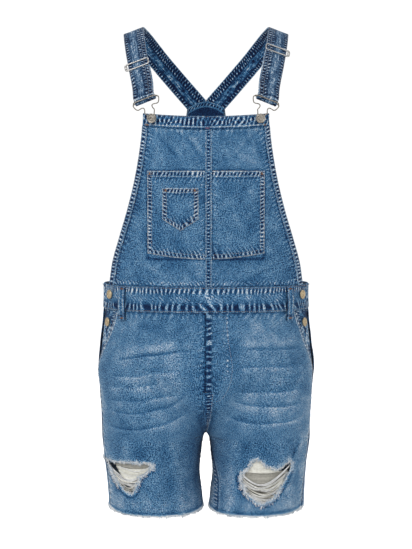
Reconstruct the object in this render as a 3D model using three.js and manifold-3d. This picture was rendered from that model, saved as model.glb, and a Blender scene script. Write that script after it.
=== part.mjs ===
// Denim bib shorts as worn: a hollow garment in millimetres, +Z up, -Y the front, +X the wearer's left.
// The origin is the middle of the shoulder line, on the underside of the two straps, where they are carried.
// Every cloth piece is a thin wall on one of two forms: the body form (bib, waistband, back panel, upper
// trousers) and the leg form (below the crotch), which are blended around the crotch curve.
import * as THREE from "three";
import { mergeVertices } from "three/addons/utils/BufferGeometryUtils.js";
import Module from "manifold-3d";

const wasm = await Module();
wasm.setup();

// ---------- driving sizes ----------
const cloth = 1.4; // wall of one layer of denim
const band = 2.2; // wall of a doubled, stitched layer
const gap = 0.3; // air between neighbouring pieces
const onPanel = cloth + gap; // lift of a piece that lies on a panel
const ovalPower = 2.3; // 2 is a true ellipse, more is squarer

const bibTopZ = -147.5; // corners of the bib's top edge
const bibTopDip = 5.5; // how far the middle hangs lower
const bibBandHeight = 21;
const bindingWidth = 9;
const seamWidth = 10.5; // width of a felled seam
const seamStart = -1; // its edge on the wearer's right of the middle

const waistTopZ = -430;
const waistHeight = 42;
const waistBottomZ = waistTopZ - waistHeight;
const frontBandEnd = -10; // side angle of the front waistband's ends, in degrees
const backBandEnd = -42; // the back waistband runs on under the front one to here

const riseStartZ = -612; // the centre front turns under below this
const seatStartZ = -590; // the centre back turns under below this
const crotchZ = -684;
const crotchY = 12;
const legBlendTopZ = -560; // the sides change from the body form to the leg form between these
const legBlendEndZ = -705;
const innerTurnReach = 0.55; // share of a panel's width over which the crotch's turn dies out
const hemZ = -812;
const hemSideRise = 6;

const pocketMouthAngle = -32; // where the slash pocket's mouth meets the waistband
const pocketMouthDepth = 108; // how far down the side seam it ends
const pocketMouthCurve = 1.7; // above 1 the mouth drops steeply first, then runs out to the seam
const facingOverlap = 8; // degrees of the hip facing that lie under the front panel
const facingLift = -2.6; // it lies a little deeper than a layer under the panel

const strapWidth = 36;
const strapWall = 2.2;
const strapSteps = 26; // from its sewn end to the hook
const hookBarDrop = 127.5; // the hook's top bar, below the shoulder
const wireRadius = 1;
const bibButton = { radius: 7.9, shank: 5.2, sink: -2.9 };
const sideButton = { radius: 7.5, shank: 1.2 };

// ---------- tables ----------
// The body form: half width, and depth in front of and behind the middle plane.
const bodySections = [
  { z: 20, half: 128, front: 88, back: 96 },
  { z: -120, half: 150, front: 110, back: 117 },
  { z: -156, half: 158, front: 116, back: 115 },
  { z: -200, half: 163, front: 121, back: 110 },
  { z: -240, half: 166, front: 123, back: 104 },
  { z: -280, half: 168, front: 122, back: 98 },
  { z: -330, half: 170, front: 118, back: 94 },
  { z: -380, half: 171, front: 115, back: 95 },
  { z: -430, half: 172, front: 115, back: 100 },
  { z: -472, half: 173, front: 116.5, back: 106 },
  { z: -520, half: 177, front: 120, back: 119 },
  { z: -571, half: 182, front: 122, back: 131 },
  { z: -610, half: 179.5, front: 120, back: 136 },
  { z: -650, half: 177.5, front: 117, back: 135 },
  { z: -690, half: 176, front: 114, back: 127 },
  { z: -820, half: 167, front: 102, back: 98 },
];

// One leg: its outer and inner edge from the middle of the garment, and its depths.
const legSections = [
  { z: -560, outer: 182, inner: 1.8, front: 120, back: 138 },
  { z: -684, outer: 176, inner: 1.8, front: 112.5, back: 123 },
  { z: -692, outer: 175.3, inner: 5.4, front: 111, back: 121 },
  { z: -720, outer: 172, inner: 9.4, front: 108, back: 113 },
  { z: -755, outer: 169, inner: 12.4, front: 105, back: 105 },
  { z: -790, outer: 166.5, inner: 8.6, front: 103, back: 100 },
  { z: -830, outer: 165, inner: 4.4, front: 101, back: 97 },
];

// The side seam's angle round the form: 0 is straight out, negative is towards the front.
const sideSeam = [
  { z: -430, angle: -10 },
  { z: -472, angle: -10 },
  { z: -565, angle: -5 },
  { z: -640, angle: -12 },
  { z: -700, angle: -20 },
  { z: -830, angle: -25 },
];

// Half width of the bib and of the back panel.
const bibOutline = [
  { z: -140, half: 100.5 },
  { z: -148, half: 101.5 },
  { z: -197, half: 106 },
  { z: -249, half: 114.5 },
  { z: -301, half: 127 },
  { z: -354, half: 143 },
  { z: -392, half: 154 },
  { z: -430, half: 160 },
];
const backOutline = [
  { z: -129, half: 33 },
  { z: -180, half: 40 },
  { z: -240, half: 53 },
  { z: -300, half: 74 },
  { z: -350, half: 100 },
  { z: -395, half: 133 },
  { z: -430, half: 158 },
];

// Soft troughs across the thighs: middle of each, half length, rise to the garment's middle, sag, depth.
const thighCreases = [
  { x: -78, z: -549, reach: 52, rise: 9, sag: 0, depth: 1.6 },
  { x: -98, z: -579, reach: 62, rise: 12, sag: 3, depth: 1.8 },
  { x: -128, z: -603, reach: 44, rise: 2, sag: 2, depth: 1.3 },
  { x: -104, z: -632, reach: 64, rise: 12, sag: 4, depth: 2 },
  { x: -104, z: -650, reach: 62, rise: 16, sag: 9, depth: 1.8 },
  { x: -92, z: -676, reach: 66, rise: 22, sag: 8, depth: 2 },
  { x: 102, z: -547, reach: 50, rise: 0, sag: 0, depth: 1.4 },
  { x: 112, z: -574, reach: 58, rise: 0, sag: 1, depth: 1.8 },
  { x: 104, z: -612, reach: 58, rise: 2, sag: 1, depth: 2 },
  { x: 108, z: -636, reach: 56, rise: 2, sag: 4, depth: 1.6 },
  { x: 102, z: -668, reach: 66, rise: 4, sag: 10, depth: 2 },
];
const creaseWidth = 7.5;

// One strap on the wearer's left, from inside the back yoke, over the shoulder, to the hook:
// the middle of its underside, and the direction from its neck edge to its arm edge.
const strapStations = [
  { x: -0.5, y: 112.0, z: -143.5, across: [0.75, 0, -0.66] },
  { x: 17, y: 113.0, z: -123, across: [0.75, 0, -0.66] },
  { x: 45, y: 111.5, z: -91, across: [0.75, -0.05, -0.66] },
  { x: 78, y: 98, z: -53, across: [0.77, -0.09, -0.63] },
  { x: 104, y: 68, z: -22, across: [0.84, -0.06, -0.52] },
  { x: 117, y: 34, z: -8.5, across: [0.91, -0.02, -0.41] },
  { x: 121, y: 0, z: -6.5, across: [0.935, 0, -0.355] },
  { x: 120, y: -30, z: -12, across: [0.935, 0.08, -0.345] },
  { x: 116.5, y: -57, z: -34, across: [0.93, 0.15, -0.335] },
  { x: 110, y: -82, z: -68, across: [0.93, 0.22, -0.335] },
  { x: 103, y: -100, z: -102, across: [0.91, 0.26, -0.338] },
];
const hookAcross = [0.9, 0.28, -0.333];
const hookMiddle = { x: 98, y: -109.5 };
const hookDrop = 30; // from the top bar to the button's middle

// The wire hook's outline beside its own middle line: half width against drop below the top bar.
const hookOutline = [
  { out: 22.5, drop: 0 },
  { out: 22.6, drop: 3.5 },
  { out: 18.5, drop: 9.8 },
  { out: 10, drop: 9.2 },
  { out: 7.4, drop: 10.6 },
  { out: 7.2, drop: 14 },
  { out: 8.6, drop: 18 },
  { out: 6.6, drop: 22.5 },
  { out: 5.4, drop: 26 },
  { out: 5.9, drop: 30 },
  { out: 4.4, drop: 34 },
  { out: 0, drop: 36 },
];

// Torn openings above the hem: middle, and for each level its two edges beside that middle.
const rips = {
  right: {
    x: -124,
    z: -744,
    levels: [
      { z: 29, from: -34, to: 34 },
      { z: 20, from: -41, to: 35 },
      { z: 10, from: -33, to: 30 },
      { z: 3, from: -28, to: 14 },
      { z: -8, from: -24, to: 12 },
      { z: -18, from: -20, to: 9 },
      { z: -27, from: -9, to: 6 },
    ],
    yarns: 11,
    yarnTop: 26,
    yarnBottom: -23,
  },
  left: {
    x: 101,
    z: -755,
    levels: [
      { z: 40, from: -28, to: -17 },
      { z: 32, from: -33, to: -6 },
      { z: 28, from: -37, to: 44 },
      { z: 20, from: -44, to: 43 },
      { z: 10, from: -47, to: 40 },
      { z: 0, from: -46, to: 34 },
      { z: -12, from: -41, to: 27 },
      { z: -22, from: -31, to: 17 },
      { z: -31, from: -17, to: 7 },
      { z: -37, from: -9, to: 0 },
    ],
    yarns: 14,
    yarnTop: 25,
    yarnBottom: -32,
  },
};
const yarnWall = 1;
const yarnBacking = 2.2; // width of the strip that the yarns of a rip are rooted in

const frayStrip = 2.2; // height of the strip that the hem's loose locks hang from
const frayLocks = 17; // on each panel
const frayLengths = [5.2, 7, 4.6, 6.2, 7.6, 5, 6.6]; // repeats along the hem

const bibPocket = { half: 94.5, top: -241, side: -375, middle: -384.5 };
const coinPocket = { x: -41, half: 29, top: -268.5, side: -319, tip: -338 };
const beltLoop = { x: 136.5, width: 10.8, top: -432, bottom: -487.5, bulge: 2.4 };
const flyLap = { bottom: -601, width: 10 };
const yokeFacing = { apex: -117, shoulder: -129.5, bottom: -176, half: 31.5 };
const sliders = [
  { side: 1, z: -44 },
  { side: -1, z: -68 },
];
const sliderHalf = 20.5;
const sliderPitch = 5.8; // half of the distance between its two long bars
const sliderShift = 2.2; // its middle lies this far towards the arm

const colours = {
  denim: { color: 0x4a7096, roughness: 0.93 },
  trim: { color: 0x55789b, roughness: 0.92 },
  inside: { color: 0x2b4669, roughness: 0.95 },
  yarn: { color: 0xd9d8d2, roughness: 0.95 },
  metal: { color: 0x9b948a, roughness: 0.38, metalness: 0.95 },
};

// ---------- small helpers ----------
const vec = (x, y, z) => new THREE.Vector3(x, y, z);
const rad = (degrees) => (degrees * Math.PI) / 180;
const mix = (a, b, share) => a + (b - a) * share;
const clamp01 = (value) => Math.min(1, Math.max(0, value));
const ease = (value) => clamp01(value) ** 2 * (3 - 2 * clamp01(value));

// A smooth curve through one column of a table, against another column that runs one way.
function through(table, column, by = "z") {
  const at = table.map((row) => row[by]);
  const value = table.map((row) => row[column]);
  const slope = value.map((_, i) => {
    const before = Math.max(0, i - 1);
    const after = Math.min(value.length - 1, i + 1);
    return (value[after] - value[before]) / (at[after] - at[before]);
  });
  const falling = at[0] > at[at.length - 1];
  return (place) => {
    let i = 0;
    while (i < at.length - 2 && (falling ? place < at[i + 1] : place > at[i + 1])) i++;
    const span = at[i + 1] - at[i];
    const t = clamp01((place - at[i]) / span);
    const rise = value[i + 1] - value[i];
    return (
      value[i] +
      rise * t * t * (3 - 2 * t) +
      span * t * (1 - t) * (slope[i] * (1 - t) - slope[i + 1] * t)
    );
  };
}

// The same with straight runs between the rows.
function straight(table, column, by = "z") {
  return (place) => {
    const i = Math.max(1, table.findIndex((row) => row[by] <= place));
    const share = (place - table[i - 1][by]) / (table[i][by] - table[i - 1][by]);
    return mix(table[i - 1][column], table[i][column], share);
  };
}

const body = {
  half: through(bodySections, "half"),
  front: through(bodySections, "front"),
  back: through(bodySections, "back"),
};
const leg = {
  outer: through(legSections, "outer"),
  inner: through(legSections, "inner"),
  front: through(legSections, "front"),
  back: through(legSections, "back"),
};
const seamAngle = through(sideSeam, "angle");

// A point on an oval: angle 0 is +X, -90 the front, 90 the back.
function onOval(degrees, half, depth) {
  const c = Math.cos(rad(degrees));
  const s = Math.sin(rad(degrees));
  const power = 2 / ovalPower;
  return [
    half * Math.sign(c) * Math.abs(c) ** power,
    depth * Math.sign(s) * Math.abs(s) ** power,
  ];
}

function onBody(degrees, z) {
  const turned = Math.sin(rad(degrees));
  const [x, y] = onOval(degrees, body.half(z), turned < 0 ? body.front(z) : body.back(z));
  return vec(x, y, z);
}

function onLeg(degrees, z) {
  const middle = (leg.outer(z) + leg.inner(z)) / 2;
  const half = (leg.outer(z) - leg.inner(z)) / 2;
  const turned = Math.sin(rad(degrees));
  const centreY = mix(0, crotchY, clamp01((-Math.cos(rad(degrees)) + 0.2) / 1.2));
  const depth = turned < 0 ? leg.front(z) + centreY : leg.back(z) - centreY;
  const [x, y] = onOval(degrees, half, depth);
  return vec(middle + x, centreY + y, z);
}

// The angle at which the body form has this x.
function angleAtX(x, z) {
  const c = Math.sign(x) * (Math.abs(x) / body.half(z)) ** (ovalPower / 2);
  return (Math.acos(Math.max(-1, Math.min(1, c))) * 180) / Math.PI;
}
const onFront = (x, z) => onBody(-angleAtX(x, z), z);
const onBack = (x, z) => onBody(angleAtX(x, z), z);

// How far the thigh creases push the cloth inwards at a place on the front.
function creased(x, z) {
  let depth = 0;
  for (const crease of thighCreases) {
    const along = (x - crease.x) / crease.reach;
    if (Math.abs(along) >= 1) continue;
    const inward = -Math.sign(crease.x) * along;
    const line = crease.z + crease.rise * inward - crease.sag * (1 - along * along);
    const off = (z - line) / creaseWidth;
    depth -= crease.depth * Math.exp(-off * off) * (1 - along ** 4);
  }
  return depth;
}

// ---------- trousers: one panel runs from the waist seam to the hem ----------
const panelRows = { front: [11, 11, 10], back: [6, 7, 6] };
const panelColumns = {
  front: [0, 0.036, 0.08, 0.14, 0.21, 0.29, 0.38, 0.47, 0.56, 0.65, 0.74, 0.83, 0.92, 1],
  back: [0, 0.04, 0.1, 0.2, 0.32, 0.44, 0.56, 0.67, 0.78, 0.89, 1],
};
const seamAllowance = 0.0009; // half of the gap at a side seam or inseam, as a share of a panel's width

// The rows of a panel: where its inner edge and its side lie, and how much of each form they take.
function panelRow(face, t) {
  const [upper, under, lower] = panelRows[face];
  const row = t * (upper + under + lower);
  const startZ = face === "front" ? riseStartZ : seatStartZ;
  const topZ = waistBottomZ - gap;
  if (row <= upper) {
    const z = mix(topZ, startZ, row / upper);
    return { innerZ: z, sideZ: z, innerLeg: 0 };
  }
  if (row <= upper + under) {
    const turn = ((row - upper) / under) * (Math.PI / 2);
    return {
      innerZ: crotchZ + (startZ - crotchZ) * (1 - Math.sin(turn)),
      sideZ: mix(startZ, crotchZ, (row - upper) / under),
      innerLeg: 1 - Math.cos(turn),
    };
  }
  const z = mix(crotchZ, hemZ, (row - upper - under) / lower);
  return { innerZ: z, sideZ: z, innerLeg: 1 };
}

const hemRise = (across, z) => hemSideRise * across ** 3 * ease((z - crotchZ) / (hemZ - crotchZ));

// across is 0 at the middle seam and the inseam, and 1 at the side seam.
function onTrousers(face, across, t, sideways = 1) {
  const row = panelRow(face, t);
  const z = mix(row.innerZ, row.sideZ, ease(across)) + hemRise(across, row.sideZ);
  const sign = face === "front" ? -1 : 1;
  const sideLeg = ease((row.sideZ - legBlendTopZ) / (legBlendEndZ - legBlendTopZ));
  const legShare = mix(row.innerLeg, sideLeg, ease(across / innerTurnReach));
  const side = seamAngle(row.sideZ);
  const legPoint = onLeg(mix(sign * 180, side, across), z);
  // Towards the crotch the body's place slides in line with the leg's, so that the thigh stays full.
  const inLine = Math.sqrt(legShare) * (1 - ease((across - 0.45) / 0.4));
  const bodyAngle = mix(mix(sign * 90, side, across), sign * angleAtX(legPoint.x, z), inLine);
  const point = onBody(bodyAngle, z).lerp(legPoint, legShare);
  point.x *= sideways;
  return point;
}

// Keeps a place on its own side of the middle seam.
const onSide = (side) => (place) => {
  place.x = side * Math.max(side * place.x, gap / 2);
  return place;
};

// ---------- walls ----------
// Builds a closed wall from a grid of places. at(u, v) is the underside's form; lift and thick are numbers
// or functions of (u, v), and push sinks a place. toward is a point behind the middle of the wall.
// columns and rows are numbers of steps or lists of stops from 0 to 1; keep may hold a place back.
function wall({ columns, rows, at, lift = 0, thick = cloth, push = () => 0, keep = (p) => p, toward }) {
  const number = (value, u, v) => (typeof value === "function" ? value(u, v) : value);
  const us = stops(columns);
  const vs = stops(rows);
  const step = 1e-3;
  const normalAt = (u, v) => {
    const alongU = at(Math.min(1, u + step), v).sub(at(Math.max(0, u - step), v));
    const alongV = at(u, Math.min(1, v + step)).sub(at(u, Math.max(0, v - step)));
    return alongU.cross(alongV).normalize();
  };
  const middle = at(0.5, 0.5);
  const facing = normalAt(0.5, 0.5).dot(middle.clone().sub(toward)) < 0 ? -1 : 1;
  const under = [];
  const over = [];
  for (const v of vs) {
    for (const u of us) {
      const place = at(u, v);
      const normal = normalAt(u, v).multiplyScalar(facing);
      const low = number(lift, u, v) + push(place, u, v);
      under.push(keep(place.clone().addScaledVector(normal, low)));
      over.push(keep(place.clone().addScaledVector(normal, low + number(thick, u, v))));
    }
  }
  return closedGrid(under, over, us.length - 1, vs.length - 1);
}

function stops(steps) {
  return Array.isArray(steps) ? steps : Array.from({ length: steps + 1 }, (_, i) => i / steps);
}

function closedGrid(under, over, columns, rows) {
  const across = columns + 1;
  const shift = under.length;
  const faces = [];
  const quad = (a, b, c, d) => faces.push(a, b, c, a, c, d);
  for (let j = 0; j < rows; j++) {
    for (let i = 0; i < columns; i++) {
      const a = j * across + i;
      quad(a, a + 1, a + 1 + across, a + across);
      quad(shift + a, shift + a + across, shift + a + 1 + across, shift + a + 1);
    }
  }
  for (let i = 0; i < columns; i++) {
    const last = rows * across + i;
    quad(i + 1, i, shift + i, shift + i + 1);
    quad(last, last + 1, shift + last + 1, shift + last);
  }
  for (let j = 0; j < rows; j++) {
    const left = j * across;
    const right = left + columns;
    quad(left, left + across, shift + left + across, shift + left);
    quad(right + across, right, shift + right, shift + right + across);
  }
  return facingOut([...under, ...over], faces);
}

// Turns a closed mesh right side out.
function facingOut(points, faces) {
  let volume = 0;
  for (let i = 0; i < faces.length; i += 3) {
    const [a, b, c] = [points[faces[i]], points[faces[i + 1]], points[faces[i + 2]]];
    volume += a.dot(b.clone().cross(c));
  }
  if (volume < 0) {
    for (let i = 0; i < faces.length; i += 3) {
      [faces[i + 1], faces[i + 2]] = [faces[i + 2], faces[i + 1]];
    }
  }
  const geometry = new THREE.BufferGeometry().setFromPoints(points);
  geometry.setIndex(faces);
  geometry.deleteAttribute("uv");
  return geometry;
}

// A round wire along a list of points.
function wire(points, radius, sides, closed) {
  const count = points.length;
  const at = (i) => points[closed ? (i + count) % count : Math.min(count - 1, Math.max(0, i))];
  const rings = [];
  let reference = null;
  for (let i = 0; i < count; i++) {
    const tangent = at(i + 1).clone().sub(at(i - 1)).normalize();
    if (!reference) {
      reference = Math.abs(tangent.y) < 0.8 ? vec(0, 1, 0) : vec(0, 0, 1);
    }
    reference = reference.clone().addScaledVector(tangent, -reference.dot(tangent)).normalize();
    const other = tangent.clone().cross(reference);
    for (let k = 0; k < sides; k++) {
      const turn = (k / sides) * 2 * Math.PI;
      rings.push(
        at(i)
          .clone()
          .addScaledVector(reference, radius * Math.cos(turn))
          .addScaledVector(other, radius * Math.sin(turn)),
      );
    }
  }
  const faces = [];
  for (let i = 0; i < (closed ? count : count - 1); i++) {
    const next = (i + 1) % count;
    for (let k = 0; k < sides; k++) {
      const a = i * sides + k;
      const b = i * sides + ((k + 1) % sides);
      const c = next * sides + ((k + 1) % sides);
      const d = next * sides + k;
      faces.push(a, b, c, a, c, d);
    }
  }
  if (!closed) {
    const last = (count - 1) * sides;
    for (let k = 1; k < sides - 1; k++) {
      faces.push(0, k + 1, k);
      faces.push(last, last + k, last + k + 1);
    }
  }
  return facingOut(rings, faces);
}

// ---------- solids for joining and cutting ----------
function toSolid(geometry) {
  const bare = geometry.clone();
  bare.deleteAttribute("normal");
  bare.deleteAttribute("uv");
  const merged = mergeVertices(bare, 1e-4);
  const mesh = new wasm.Mesh({
    numProp: 3,
    vertProperties: merged.attributes.position.array,
    triVerts: new Uint32Array(merged.index.array),
  });
  return new wasm.Manifold(mesh);
}

function toGeometry(solid) {
  const mesh = solid.getMesh();
  const geometry = new THREE.BufferGeometry();
  geometry.setAttribute("position", new THREE.BufferAttribute(mesh.vertProperties, 3));
  geometry.setIndex(new THREE.BufferAttribute(mesh.triVerts, 1));
  return geometry;
}

const joined = (geometries) =>
  toGeometry(geometries.map(toSolid).reduce((whole, piece) => whole.add(piece)));
const cutBy = (geometry, tool) => toGeometry(toSolid(geometry).subtract(toSolid(tool)));

// ---------- the garment ----------
const garment = new THREE.Group();
const axis = (z) => vec(0, 0, z);
const legAxis = (side, z) => vec(side * 88, 0, z);

function add(name, geometry, finish) {
  geometry.computeVertexNormals();
  const { color, roughness, metalness = 0 } = colours[finish];
  const mesh = new THREE.Mesh(
    geometry,
    new THREE.MeshStandardMaterial({ color, roughness, metalness, side: THREE.DoubleSide }),
  );
  mesh.name = name;
  garment.add(mesh);
  return mesh;
}

const sideNames = [
  { side: 1, name: "left" },
  { side: -1, name: "right" },
];

// The share across a front panel at which the pocket mouth leaves it open, for a given height.
function mouthAcross(z) {
  const down = clamp01((waistBottomZ - z) / pocketMouthDepth) ** pocketMouthCurve;
  const start = 1 - (seamAngle(waistBottomZ) - pocketMouthAngle) / (seamAngle(waistBottomZ) + 90);
  return mix(start, 1, down);
}

// The prism that cuts a rip through a front panel.
function ripTool(rip) {
  const right = rip.levels.map((level) => new THREE.Vector2(rip.x + level.to, rip.z + level.z));
  const left = rip.levels.map((level) => new THREE.Vector2(rip.x + level.from, rip.z + level.z));
  const outline = new THREE.Shape([...right, ...left.reverse()]);
  const prism = new THREE.ExtrudeGeometry(outline, { depth: 140, bevelEnabled: false });
  prism.rotateX(Math.PI / 2); // the outline's height becomes Z, and the prism runs to -Y
  return prism;
}

function addLegPanels() {
  for (const { side, name } of sideNames) {
    const front = wall({
      columns: panelColumns.front,
      rows: 32,
      at: (u, v) => {
        const { sideZ } = panelRow("front", v);
        const across = mix(seamAllowance, 1 - seamAllowance, u * mouthAcross(sideZ));
        return onTrousers("front", across, v, side);
      },
      push: (place) => creased(place.x, place.z),
      keep: onSide(side),
      toward: legAxis(side, -640),
    });
    add(`front_leg_${name}`, cutBy(front, ripTool(rips[name])), "denim");
    const back = wall({
      columns: panelColumns.back,
      rows: 19,
      at: (u, v) => onTrousers("back", mix(seamAllowance, 1 - seamAllowance, u), v, side),
      keep: onSide(side),
      toward: legAxis(side, -640),
    });
    add(`back_leg_${name}`, back, "denim");
  }
}

// The hip facing lies under the front panel at the pocket's mouth and runs on under the back panel.
function addHipFacings() {
  const bottomZ = waistBottomZ - pocketMouthDepth - 14;
  for (const { side, name } of sideNames) {
    const at = (u, v) => {
      const z = mix(waistBottomZ - gap, bottomZ, v);
      const from = mix(-90, seamAngle(z), mouthAcross(z)) - facingOverlap;
      const place = onBody(mix(from, seamAngle(z) - 0.4, u), z);
      place.x *= side;
      return place;
    };
    const facing = wall({ columns: 5, rows: 7, at, lift: facingLift, toward: axis(-520) });
    add(`hip_facing_${name}`, facing, "denim");
  }
}

// The fly's fold and the felled seam below it, on the wearer's left panel.
function addFly() {
  const lap = wall({
    columns: 1,
    rows: 9,
    at: (u, v) => onFront(mix(gap / 2, flyLap.width, u), mix(waistBottomZ - gap, flyLap.bottom, v)),
    lift: onPanel,
    toward: axis(-530),
  });
  add("fly_lap", lap, "trim");
  const [upper, under, lower] = panelRows.front;
  const rows = upper + under + lower;
  const startRow = upper * ((flyLap.bottom - 1 - waistBottomZ) / (riseStartZ - waistBottomZ));
  const endRow = upper + under - 1;
  const rise = wall({
    columns: 1,
    rows: [0, ...stops(endRow - upper).map((share) => mix(upper - startRow, endRow - startRow, share))].map(
      (row) => (row === 0 ? 0 : row / (endRow - startRow)),
    ),
    at: (u, v) => onTrousers("front", u * panelColumns.front[1], mix(startRow, endRow, v) / rows),
    lift: onPanel + 0.4,
    thick: 1,
    keep: onSide(1),
    toward: vec(40, 0, -630),
  });
  add("front_rise_seam", rise, "trim");
}

function addWaistbands() {
  const front = wall({
    columns: 26,
    rows: 2,
    at: (u, v) => onBody(mix(-180 - frontBandEnd, frontBandEnd, u), mix(waistTopZ, waistBottomZ, v)),
    thick: band,
    toward: axis(-450),
  });
  add("waistband_front", front, "trim");
  const reach = 90 - backBandEnd;
  const underlap = -(band + gap);
  const sink = (u) => {
    const degrees = 90 - Math.abs(mix(-reach, reach, u));
    return underlap * (1 - ease((degrees - frontBandEnd - 1) / 9));
  };
  const back = wall({
    columns: 32,
    rows: 2,
    at: (u, v) => onBody(90 + mix(reach, -reach, u), mix(waistTopZ, waistBottomZ, v)),
    lift: (u) => sink(u),
    thick: band,
    toward: axis(-450),
  });
  add("waistband_back", back, "trim");
}

function addBeltLoops() {
  for (const { side, name } of sideNames) {
    const at = (u, v) => {
      const place = onFront(beltLoop.x + (u - 0.5) * beltLoop.width, mix(beltLoop.top, beltLoop.bottom, v));
      place.x *= side;
      return place;
    };
    const loop = wall({
      columns: 1,
      rows: 10,
      at,
      lift: (u, v) => band + gap + beltLoop.bulge * Math.sin(Math.PI * v) ** 0.6,
      thick: 1.8,
      toward: axis(-460),
    });
    add(`belt_loop_${name}`, loop, "trim");
  }
}

// ---------- bib ----------
const bibHalf = through(bibOutline, "half");
const bibTop = (x) => bibTopZ - bibTopDip * (1 - (x / bibHalf(bibTopZ)) ** 2);

// A place on the bib: across is -1 at its right edge and 1 at its left edge, down is 0 at its top.
function onBib(across, down, inset = 0) {
  const bottom = waistTopZ + gap;
  const roughZ = mix(bibTopZ, bottom, down);
  const x = across * (bibHalf(roughZ) - inset);
  return onFront(x, mix(bibTop(x), bottom, down));
}

function addBib() {
  for (const { side, name } of sideNames) {
    const half = wall({
      columns: 7,
      rows: 14,
      at: (u, v) => {
        const place = onBib(u, v);
        place.x = Math.max(place.x, gap / 2);
        place.x *= side;
        return place;
      },
      toward: axis(-300),
    });
    add(`bib_${name}`, half, "denim");

    const bindingTop = (bibBandHeight + gap) / (bibTopZ - waistTopZ);
    const binding = wall({
      columns: 1,
      rows: 14,
      at: (u, v) => {
        const down = mix(bindingTop, 1, v);
        const place = onBib(1, down);
        const inner = onBib(1, down, bindingWidth);
        place.lerp(inner, 1 - u);
        place.x *= side;
        return place;
      },
      lift: onPanel,
      thick: 1.2,
      toward: axis(-300),
    });
    add(`bib_binding_${name}`, binding, "trim");
  }
  const topBand = wall({
    columns: 14,
    rows: 2,
    at: (u, v) => {
      const x = mix(-1, 1, u) * bibHalf(bibTopZ);
      return onFront(x, bibTop(x) - bibBandHeight * v);
    },
    lift: onPanel,
    thick: 1.6,
    toward: axis(-160),
  });
  add("bib_top_band", topBand, "trim");

  const stretches = [
    { name: "bib_seam_upper", top: bibTop(0) - bibBandHeight - gap, bottom: bibPocket.top + gap, rows: 4 },
    { name: "bib_seam_lower", top: bibPocket.middle - gap, bottom: waistTopZ + gap, rows: 3 },
  ];
  for (const stretch of stretches) {
    const seam = wall({
      columns: 1,
      rows: stretch.rows,
      at: (u, v) =>
        onFront(mix(seamStart, seamStart + seamWidth, u), mix(stretch.top, stretch.bottom, v)),
      lift: onPanel,
      thick: 1,
      toward: axis(-300),
    });
    add(stretch.name, seam, "trim");
  }
}

function addPockets() {
  const bottomAt = (x) => mix(bibPocket.middle, bibPocket.side, (x / bibPocket.half) ** 2);
  const pocketAt = (from, to) => (u, v) => {
    const x = mix(from, to, u);
    return onFront(x, mix(bibPocket.top, bottomAt(x), v));
  };
  const edge = seamStart + seamWidth;
  const halves = [
    { name: "bib_pocket_right", from: -bibPocket.half, to: seamStart - gap },
    { name: "bib_pocket_left", from: edge + gap, to: bibPocket.half },
  ];
  for (const half of halves) {
    const piece = wall({
      columns: 6,
      rows: 7,
      at: pocketAt(half.from, half.to),
      lift: onPanel,
      thick: 1.3,
      toward: axis(-300),
    });
    add(half.name, piece, "denim");
  }
  const seam = wall({
    columns: 1,
    rows: 6,
    at: pocketAt(seamStart, edge),
    lift: onPanel,
    thick: 2,
    toward: axis(-300),
  });
  add("bib_pocket_seam", seam, "trim");

  const coin = wall({
    columns: 6,
    rows: 4,
    at: (u, v) => {
      const from = mix(-1, 1, u);
      const bottom = mix(coinPocket.tip, coinPocket.side, Math.abs(from));
      return onFront(coinPocket.x + from * coinPocket.half, mix(coinPocket.top, bottom, v));
    },
    lift: onPanel + 1.3 + gap,
    thick: 1.3,
    toward: axis(-300),
  });
  add("coin_pocket", coin, "denim");
}

// ---------- back ----------
const backHalf = through(backOutline, "half");
const backTop = (x) =>
  mix(yokeFacing.apex, yokeFacing.shoulder, clamp01(Math.abs(x) / yokeFacing.half) ** 1.7);

function addBack() {
  const panel = wall({
    columns: 12,
    rows: 14,
    at: (u, v) => {
      const across = mix(-1, 1, u);
      const roughZ = mix(yokeFacing.shoulder, waistTopZ + gap, v);
      const x = across * backHalf(roughZ);
      return onBack(x, mix(backTop(x), waistTopZ + gap, v));
    },
    toward: axis(-300),
  });
  add("back_panel", panel, "denim");
  for (const { side, name } of sideNames) {
    const binding = wall({
      columns: 1,
      rows: 14,
      at: (u, v) => {
        const z = mix(yokeFacing.shoulder - 1, waistTopZ + gap, v);
        const place = onBack(backHalf(z) - bindingWidth * (1 - u), z);
        place.x *= side;
        return place;
      },
      lift: onPanel + 0.6,
      thick: 1.2,
      toward: axis(-300),
    });
    add(`back_binding_${name}`, binding, "trim");
  }
  const facing = wall({
    columns: 6,
    rows: 3,
    at: (u, v) => {
      const x = mix(-1, 1, u) * yokeFacing.half;
      return onBack(x, mix(backTop(x), yokeFacing.bottom, v));
    },
    lift: -(strapWall + 2 * gap + cloth) - 2.2,
    thick: cloth,
    toward: axis(-150),
  });
  add("yoke_facing", facing, "inside");
}

// ---------- straps and their metal ----------
const hookMiddlePoint = vec(hookMiddle.x, hookMiddle.y, -hookBarDrop);

// The strap's own frame at the hook: across to the arm, down to the button, and out from the chest.
const hookFrame = (() => {
  const across = vec(...hookAcross).normalize();
  const out = vec(0, -1, 0).addScaledVector(across, -vec(0, -1, 0).dot(across)).normalize();
  const down = across.clone().cross(out).normalize();
  if (down.z > 0) down.negate();
  return { across, out, down };
})();

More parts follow.
